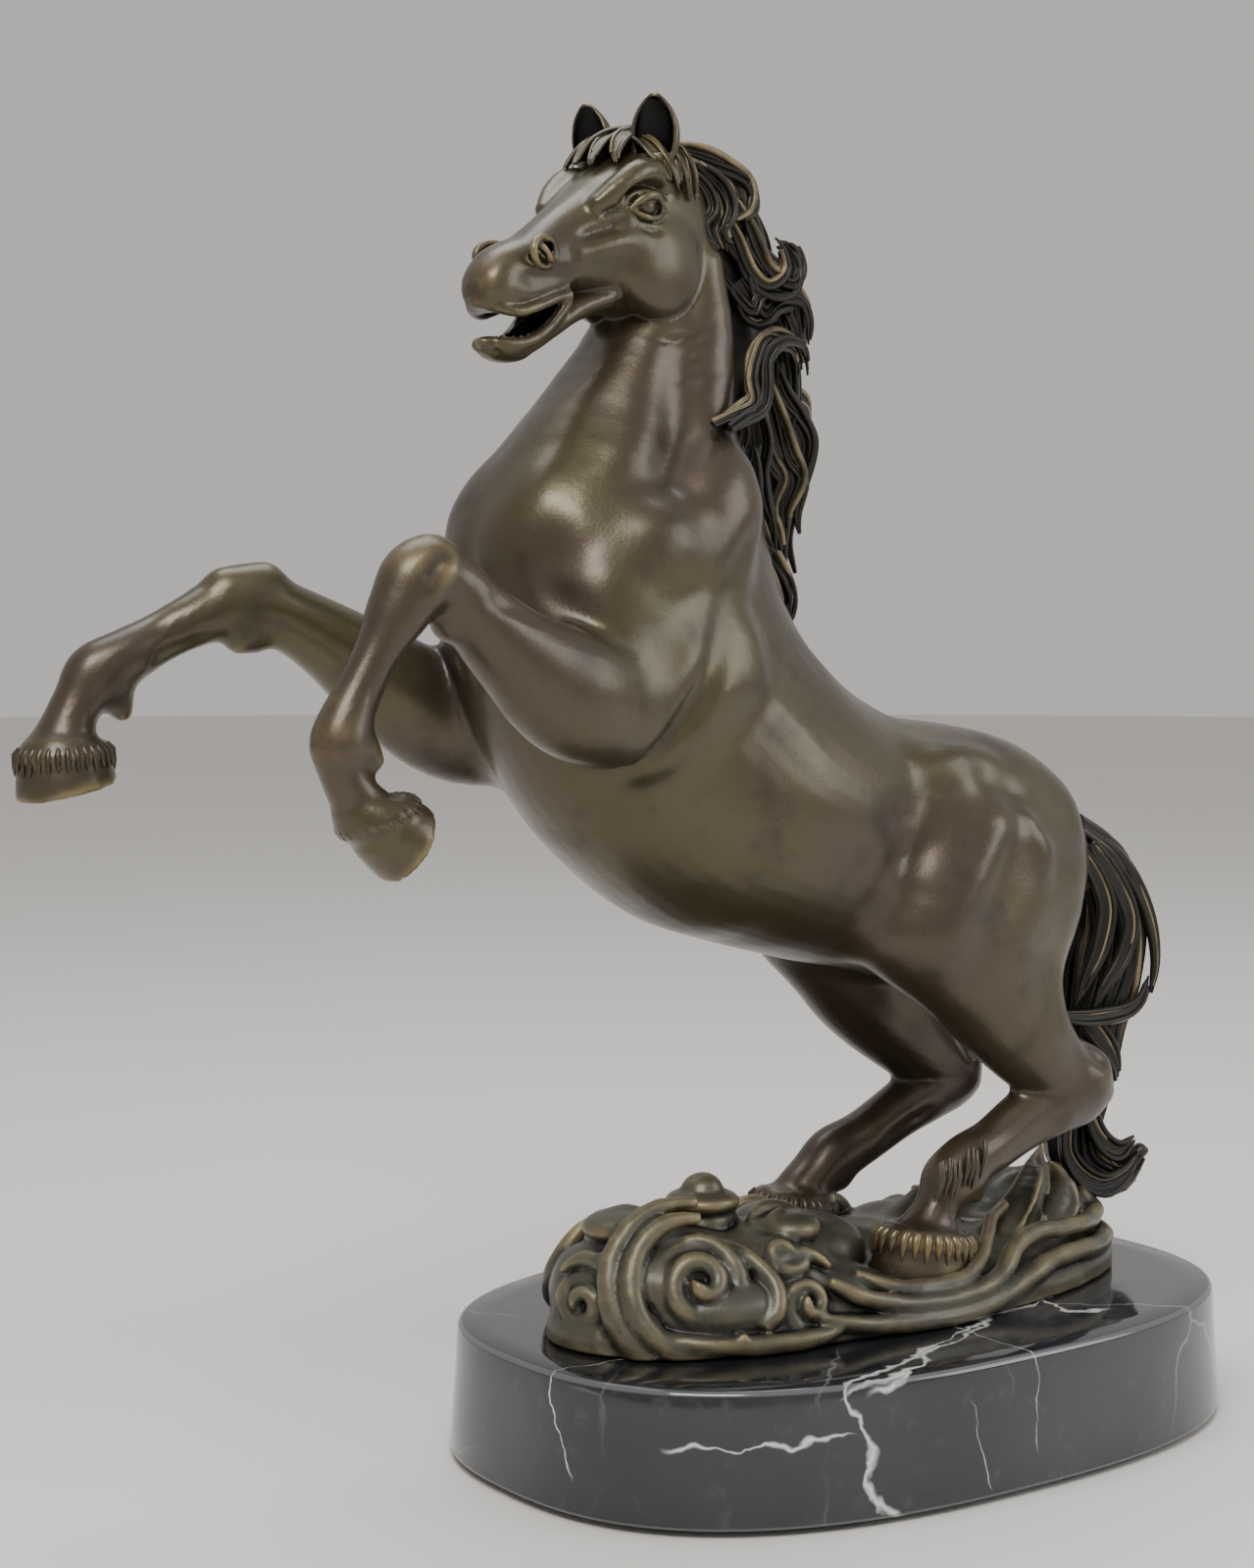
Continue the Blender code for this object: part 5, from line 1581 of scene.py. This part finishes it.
brassy = fringe_of(HOOVES["left_hind_leg"], 26, 4.2, 1.15)
dark = (fringe_of(HOOVES["right_foreleg"], 30, 3.4, 0.8) + fringe_of(HOOVES["right_hind_leg"], 26, 3.6, 0.95)
        + fringe_of(HOOVES["left_foreleg"], 24, 1.8, 0.5, 0.2))
for k in range(9):             # the feather on the outside of the near hind fetlock
    x = 2.5 + 1.7 * k + dice.uniform(-0.5, 0.5)
    z = 60.5 + 0.35 * k + dice.uniform(-1.6, 1.2)
    dark.append(np.array([[x + 1.2, -27.6, z + 3.5, 0.4], [x + 0.4, -28.5, z, 0.85],
                          [x - 0.6, -28.7, z - 2.5, 0.65], [x - 1.5, -28.8, z - 5.0, 0.1]]))
nodes_piece("coronet_fringe", curve_object("fringe_lines", brassy), STRANDS,
            {"Edge Every": 1, "Edge Wear": 0.85, "Groove Depth": 0.9, "Finish": BRONZE})
nodes_piece("fetlock_hair", curve_object("fetlock_lines", dark), STRANDS,
            {"Edge Every": 3, "Edge Wear": 0.25, "Groove Depth": 0.8, "Finish": BRONZE})

# %% [markdown]
# Teeth are the same small block over and over along each gum, which is just what an
# instance is for: a node tree resamples the gum line and stands a block on each point.

# %% Teeth
def teeth_tree():
    """Rounded blocks stood at even steps along curves."""
    tree = bpy.data.node_groups.new("teeth", "GeometryNodeTree")
    for label, kind, value in (("Gums", "NodeSocketGeometry", None), ("Spacing", "NodeSocketFloat", 0.0015),
                               ("Size", "NodeSocketVector", (0.0012, 0.0012, 0.0022)),
                               ("Finish", "NodeSocketMaterial", None)):
        socket = tree.interface.new_socket(label, in_out="INPUT", socket_type=kind)
        if value is not None:
            socket.default_value = value
    tree.interface.new_socket("Teeth", in_out="OUTPUT", socket_type="NodeSocketGeometry")
    link = tree.links.new
    new = tree.nodes.new
    given = new("NodeGroupInput").outputs
    steps = new("GeometryNodeResampleCurve")
    steps.mode = "LENGTH"
    link(given["Gums"], steps.inputs["Curve"])
    link(given["Spacing"], steps.inputs["Length"])
    block = new("GeometryNodeMeshCube")
    link(given["Size"], block.inputs["Size"])
    rounded = new("GeometryNodeSubdivisionSurface")
    rounded.inputs["Level"].default_value = 2
    link(block.outputs[0], rounded.inputs[0])
    stood = new("GeometryNodeInstanceOnPoints")
    link(steps.outputs[0], stood.inputs["Points"])
    link(rounded.outputs[0], stood.inputs["Instance"])
    real = new("GeometryNodeRealizeInstances")
    link(stood.outputs[0], real.inputs[0])
    finish = new("GeometryNodeSetMaterial")
    link(real.outputs[0], finish.inputs["Geometry"])
    link(given["Finish"], finish.inputs["Material"])
    link(finish.outputs[0], new("NodeGroupOutput").inputs[0])
    return tree


HALF_GUMS = (                  # lower and upper, from the back to the middle of the front
    ((-91, -3.9, 246.8), (-96, -3.9, 243.2), (-101, -3.6, 241.4), (-105.6, -2.2, 241.0), (-107, 0, 241.0)),
    ((-94, -4.6, 250.0), (-99, -4.7, 248.9), (-103, -3.8, 248.0), (-105.6, -1.8, 248.2), (-106, 0, 248.4)),
)
gums = []
for half in HALF_GUMS:
    line = turned(smooth_path(np.vstack([half, mirrored(half)[-2::-1]]), 6))
    gums.append(np.column_stack([line, np.ones(len(line))]))
nodes_piece("teeth", curve_object("gum_lines", gums), teeth_tree(),
            {"Spacing": 0.0019, "Finish": BRONZE})

# %% [markdown]
# ## Marble
#
# Veins in marble are cracks through the block, so a vein on the top carries on down the
# side.  Each one here is a plane in the stone, a little warped by noise, and shown only
# between two distances along it: the shader needs no picture and no unwrapping.  The
# polish is a low roughness, which mirrors the statue's foot in the top.

# %% Marble: a vein
marble, marble_shader, add, links = graph("black_marble")
place = add("ShaderNodeTexCoord").outputs["Object"]


def vector_node(operation, a, b):
    return add("ShaderNodeVectorMath", {0: a, 1: b}, operation=operation)


def shift(scale, amount):
    """The object coordinates, pushed about by noise of this scale."""
    wander = add("ShaderNodeTexNoise", {"Vector": place, "Scale": scale, "Detail": 4.0})
    centred = vector_node("SUBTRACT", wander.outputs["Color"], (0.5, 0.5, 0.5)).outputs[0]
    pushed = vector_node("MULTIPLY", centred, (amount,) * 3).outputs[0]
    return vector_node("ADD", place, pushed).outputs[0]


def dotted(vector, way):
    return vector_node("DOT_PRODUCT", vector, tuple(way)).outputs["Value"]


def math_node(operation, a, b=0.0):
    return add("ShaderNodeMath", {0: a, 1: b}, operation=operation).outputs[0]


def vein(a, b, c, width, run):
    """A crack through three points in mm; run is how far it shows, past a and past b."""
    a, b, c = (np.array(p, float) * MM for p in (a, b, c))
    normal = unit(np.cross(b - a, c - a))
    height = math_node("SUBTRACT", dotted(shift(45.0, 0.016), normal), float(normal @ a))
    away = math_node("ABSOLUTE", height)
    patchy = ramp(add, noise(add, place, 90.0, 3.0), 0.35, 0.65, 0.25 * width * MM, width * MM)
    line = math_node("SUBTRACT", 1.0, math_node("MINIMUM", math_node("DIVIDE", away, patchy), 1.0))
    way = unit(b - a)
    along = math_node("SUBTRACT", dotted(place, way), float(way @ a))
    length = float(np.linalg.norm(b - a))
    start = ramp(add, along, -run[0] * MM, (4 - run[0]) * MM)
    end = ramp(add, along, length + (run[1] - 4) * MM, length + run[1] * MM, 1.0, 0.0)
    return math_node("MULTIPLY", math_node("MULTIPLY", line, start), end)


# %% [markdown]
# The big veins are placed one by one, each through three points of the block.  Finer
# ones, too many to place, are the borders of Voronoi cells, shown only where a slow noise
# lets them through, and here and there a pale fleck sits in the stone.

# %% Marble: veins and stone
VEIN_PLACES = (                # three points, width in mm, and how far it runs past them
    ((-46, -58, 29), (-37, -61, 5), (-15, -47, 30), 1.1, (6, 6)),
    ((10, -37, 30), (-25, -53, 30), (-6, -20, 5), 0.9, (6, 20)),
    ((-25, -53, 30), (-46, -58, 29), (-30, -30, 5), 1.2, (2, 4)),
    ((-48, -58, 21), (-78, -42, 17), (-50, 0, 22), 0.8, (2, 5)),
    ((0, -62, 30), (1, -62, 12), (6, 0, 26), 0.35, (4, 4)),
    ((-91, -17, 29), (-91, -20, 12), (0, -6, 20), 0.35, (4, 4)),
    ((-18, -63, 20), (-15, -63, 6), (-30, 0, 12), 0.3, (4, 4)),
    ((40, 40, 30), (75, 10, 30), (60, 30, 5), 0.7, (20, 20)),
    ((-30, 62, 25), (30, 62, 12), (0, 0, 30), 0.6, (6, 6)),
)
veins = None
for settings in VEIN_PLACES:
    line = vein(*settings)
    veins = line if veins is None else math_node("MAXIMUM", veins, line)
hairs = add("ShaderNodeTexVoronoi", {"Vector": shift(25.0, 0.03), "Scale": 16.0},
            feature="DISTANCE_TO_EDGE").outputs[0]
hairs = math_node("MULTIPLY", ramp(add, hairs, 0.0, 0.010, 1.0, 0.0),
                  ramp(add, noise(add, place, 18.0), 0.42, 0.66, 0.0, 0.42))
spots = add("ShaderNodeTexVoronoi", {"Vector": shift(60.0, 0.006), "Scale": 42.0}, feature="F1")
rare = ramp(add, add("ShaderNodeSeparateColor", {0: spots.outputs["Color"]}).outputs[0], 0.90, 0.93)
spots = math_node("MULTIPLY", ramp(add, spots.outputs["Distance"], 0.03, 0.09, 0.7, 0.0), rare)
clouding = ramp(add, noise(add, place, 14.0, 5.0), 0.35, 0.7)
grain = ramp(add, noise(add, place, 240.0, 4.0), 0.55, 0.75, 0.0, 0.35)
stone = mix(add, clouding, (0.010, 0.010, 0.013, 1), (0.024, 0.026, 0.032, 1))
stone = mix(add, grain, stone, (0.060, 0.062, 0.068, 1))
stone = mix(add, hairs, stone, (0.42, 0.42, 0.43, 1))
stone = mix(add, spots, stone, (0.50, 0.50, 0.50, 1))
stone = mix(add, veins, stone, (0.72, 0.72, 0.70, 1))
edge = add("ShaderNodeAttribute", attribute_name="edge").outputs["Fac"]
stone = mix(add, ramp(add, edge, 0.2, 0.9, 0.0, 0.55), stone, (0.16, 0.17, 0.18, 1))
links.new(stone, marble_shader.inputs["Base Color"])
dulled = ramp(add, noise(add, place, 120.0, 4.0), 0.4, 0.75, 0.07, 0.20)
links.new(dulled, marble_shader.inputs["Roughness"])
marble_shader.inputs["Specular IOR Level"].default_value = 0.6
marble_shader.inputs["Coat Weight"].default_value = 0.35
marble_shader.inputs["Coat Roughness"].default_value = 0.04
print(f"{marble.name}: {len(VEIN_PLACES)} veins, {len(marble.node_tree.nodes)} shader nodes")

# %% [markdown]
# The slab is a stack of rings again: a small chamfer at the foot, sides that lean in a
# little, a rounded top edge, and a flat top.  The chamfers are marked with an attribute,
# because a ground edge is paler than a polished face.

# %% Marble plinth
RING_POINTS = 240
PLINTH_ROWS = (                # z, inset and how much of it is chamfer
    (1.5, 8.0, 0), (1.5, 0.5, 0), (2.0, 0.05, 1), (2.6, 0.0, 0), (8.0, 0.36, 0),
    (15.0, 0.83, 0), (22.0, 1.3, 0), (28.6, 1.62, 0), (29.1, 1.75, 1), (29.7, 2.25, 1),
    (30.0, 2.9, 0), (30.0, 9.0, 0), (30.0, 24.0, 0), (30.0, 44.0, 0),
)
rings = [outline_ring(93.9 - inset, 64.0 - inset, z, 2.55, (0, 0), RING_POINTS)
         for z, inset, _ in PLINTH_ROWS]
points, faces = stacked(rings)
chamfer = np.repeat([float(row[2]) for row in PLINTH_ROWS], RING_POINTS)
edge = np.concatenate([chamfer, [0, 0]])
plinth = mesh_piece("marble_slab", points, faces, marble, ("marble_plinth",), None, {"edge": edge})

# %% [markdown]
# The felt and the steel fixings keep their CAD shapes, which are already right, and only
# get finishes: a fuzzy green nap, and turned steel with a fine brushed grain.

# %% Felt, steel and pins
felt, felt_shader, add, links = graph("green_felt")
place = add("ShaderNodeTexCoord").outputs["Object"]
fibres = noise(add, place, 1400.0, 6.0, 0.7)
links.new(mix(add, fibres, (0.012, 0.040, 0.022, 1), (0.035, 0.095, 0.055, 1)),
          felt_shader.inputs["Base Color"])
felt_shader.inputs["Roughness"].default_value = 0.95
felt_shader.inputs["Sheen Weight"].default_value = 0.5
links.new(add("ShaderNodeBump", {"Height": fibres, "Strength": 0.6, "Distance": 0.0004}).outputs[0],
          felt_shader.inputs["Normal"])

steel, steel_shader, add, links = graph("zinc_plated_steel")
place = add("ShaderNodeTexCoord").outputs["Object"]
brushed = noise(add, place, 700.0, 3.0)
links.new(mix(add, brushed, (0.42, 0.42, 0.41, 1), (0.60, 0.60, 0.58, 1)),
          steel_shader.inputs["Base Color"])
links.new(ramp(add, brushed, 0.3, 0.7, 0.25, 0.42), steel_shader.inputs["Roughness"])
steel_shader.inputs["Metallic"].default_value = 1.0

for name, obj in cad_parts.items():
    finish = {"felt_pad": felt, "left_hoof_pin": BRONZE, "right_hoof_pin": BRONZE}.get(name)
    if name.endswith(("stud", "washer", "nut")):
        finish = steel
    if finish:
        obj.data.materials.clear()
        obj.data.materials.append(finish)
        print(f"{name}: {finish.name}")

# %% [markdown]
# ## Floor, light and camera
#
# A broad soft box above and to the left gives the long satin highlights on the chest,
# neck and back; a dimmer one from the right keeps the far legs readable, and one overhead
# draws the rump, the withers and the ears out of the background.

# %% Lights
def area_light(name, place, target, size, power, colour):
    """A soft box at a place, aimed at a target; size in metres and power in watts."""
    light = bpy.data.lights.new(name, "AREA")
    light.shape = "RECTANGLE"
    light.size, light.size_y = size
    light.energy = power
    light.color = colour
    lamp = bpy.data.objects.new(name, light)
    lamp.location = place
    lamp.rotation_euler = (Vector(target) - Vector(place)).to_track_quat("-Z", "Y").to_euler()
    bpy.context.scene.collection.objects.link(lamp)


area_light("key", (-0.55, -0.55, 0.95), (-0.03, 0, 0.16), (0.55, 0.40), 9.0, (1.0, 0.98, 0.95))
area_light("fill", (0.75, -0.75, 0.55), (0, 0, 0.14), (0.6, 0.6), 4.0, (0.93, 0.96, 1.0))
area_light("top", (0.05, 0.25, 1.05), (0, 0, 0.15), (0.7, 0.5), 5.0, (0.90, 0.95, 1.0))

# %% [markdown]
# The world is an even, slightly warm grey that fills the shadows, and the floor is a wide
# disc of pale paper, so that nothing but the statue catches the eye.

# %% World and floor
FLOOR_RADIUS = 4.0
FLOOR_POINTS = 96
world = bpy.data.worlds.new("studio")
world.use_nodes = True
world.node_tree.nodes["Background"].inputs["Color"].default_value = (0.80, 0.78, 0.76, 1)
world.node_tree.nodes["Background"].inputs["Strength"].default_value = 0.68
bpy.context.scene.world = world

paper, paper_shader, add, links = graph("paper_floor")
place = add("ShaderNodeTexCoord").outputs["Object"]
links.new(mix(add, noise(add, place, 3.0), (0.74, 0.71, 0.68, 1), (0.80, 0.78, 0.75, 1)),
          paper_shader.inputs["Base Color"])
paper_shader.inputs["Roughness"].default_value = 0.75
turn = np.linspace(0, 2 * math.pi, FLOOR_POINTS + 1)[:-1]
ring = [(math.cos(a) * FLOOR_RADIUS, math.sin(a) * FLOOR_RADIUS, 0) for a in turn]
mesh = bpy.data.meshes.new("floor")
mesh.from_pydata(ring, [], [tuple(range(FLOOR_POINTS))])
mesh.materials.append(paper)
floor = bpy.data.objects.new("floor", mesh)
bpy.context.scene.collection.objects.link(floor)
print("floor radius, m:", FLOOR_RADIUS)

# %% [markdown]
# The camera stands in front and to the left, a little above the middle of the statue,
# and looks slightly down.  Its place and aim were measured from the plinth's outline.

# %% Camera
CAMERA_PLACE = (-0.40578, -0.47679, 0.18903)
CAMERA_AIM = (0.58367, 0.80928, -0.06627)
camera = bpy.data.objects.new("camera", bpy.data.cameras.new("camera"))
camera.data.lens = 63.04
camera.data.sensor_width = 36
camera.location = CAMERA_PLACE
camera.rotation_euler = Vector(CAMERA_AIM).to_track_quat("-Z", "Y").to_euler()
bpy.context.scene.collection.objects.link(camera)
bpy.context.scene.camera = camera
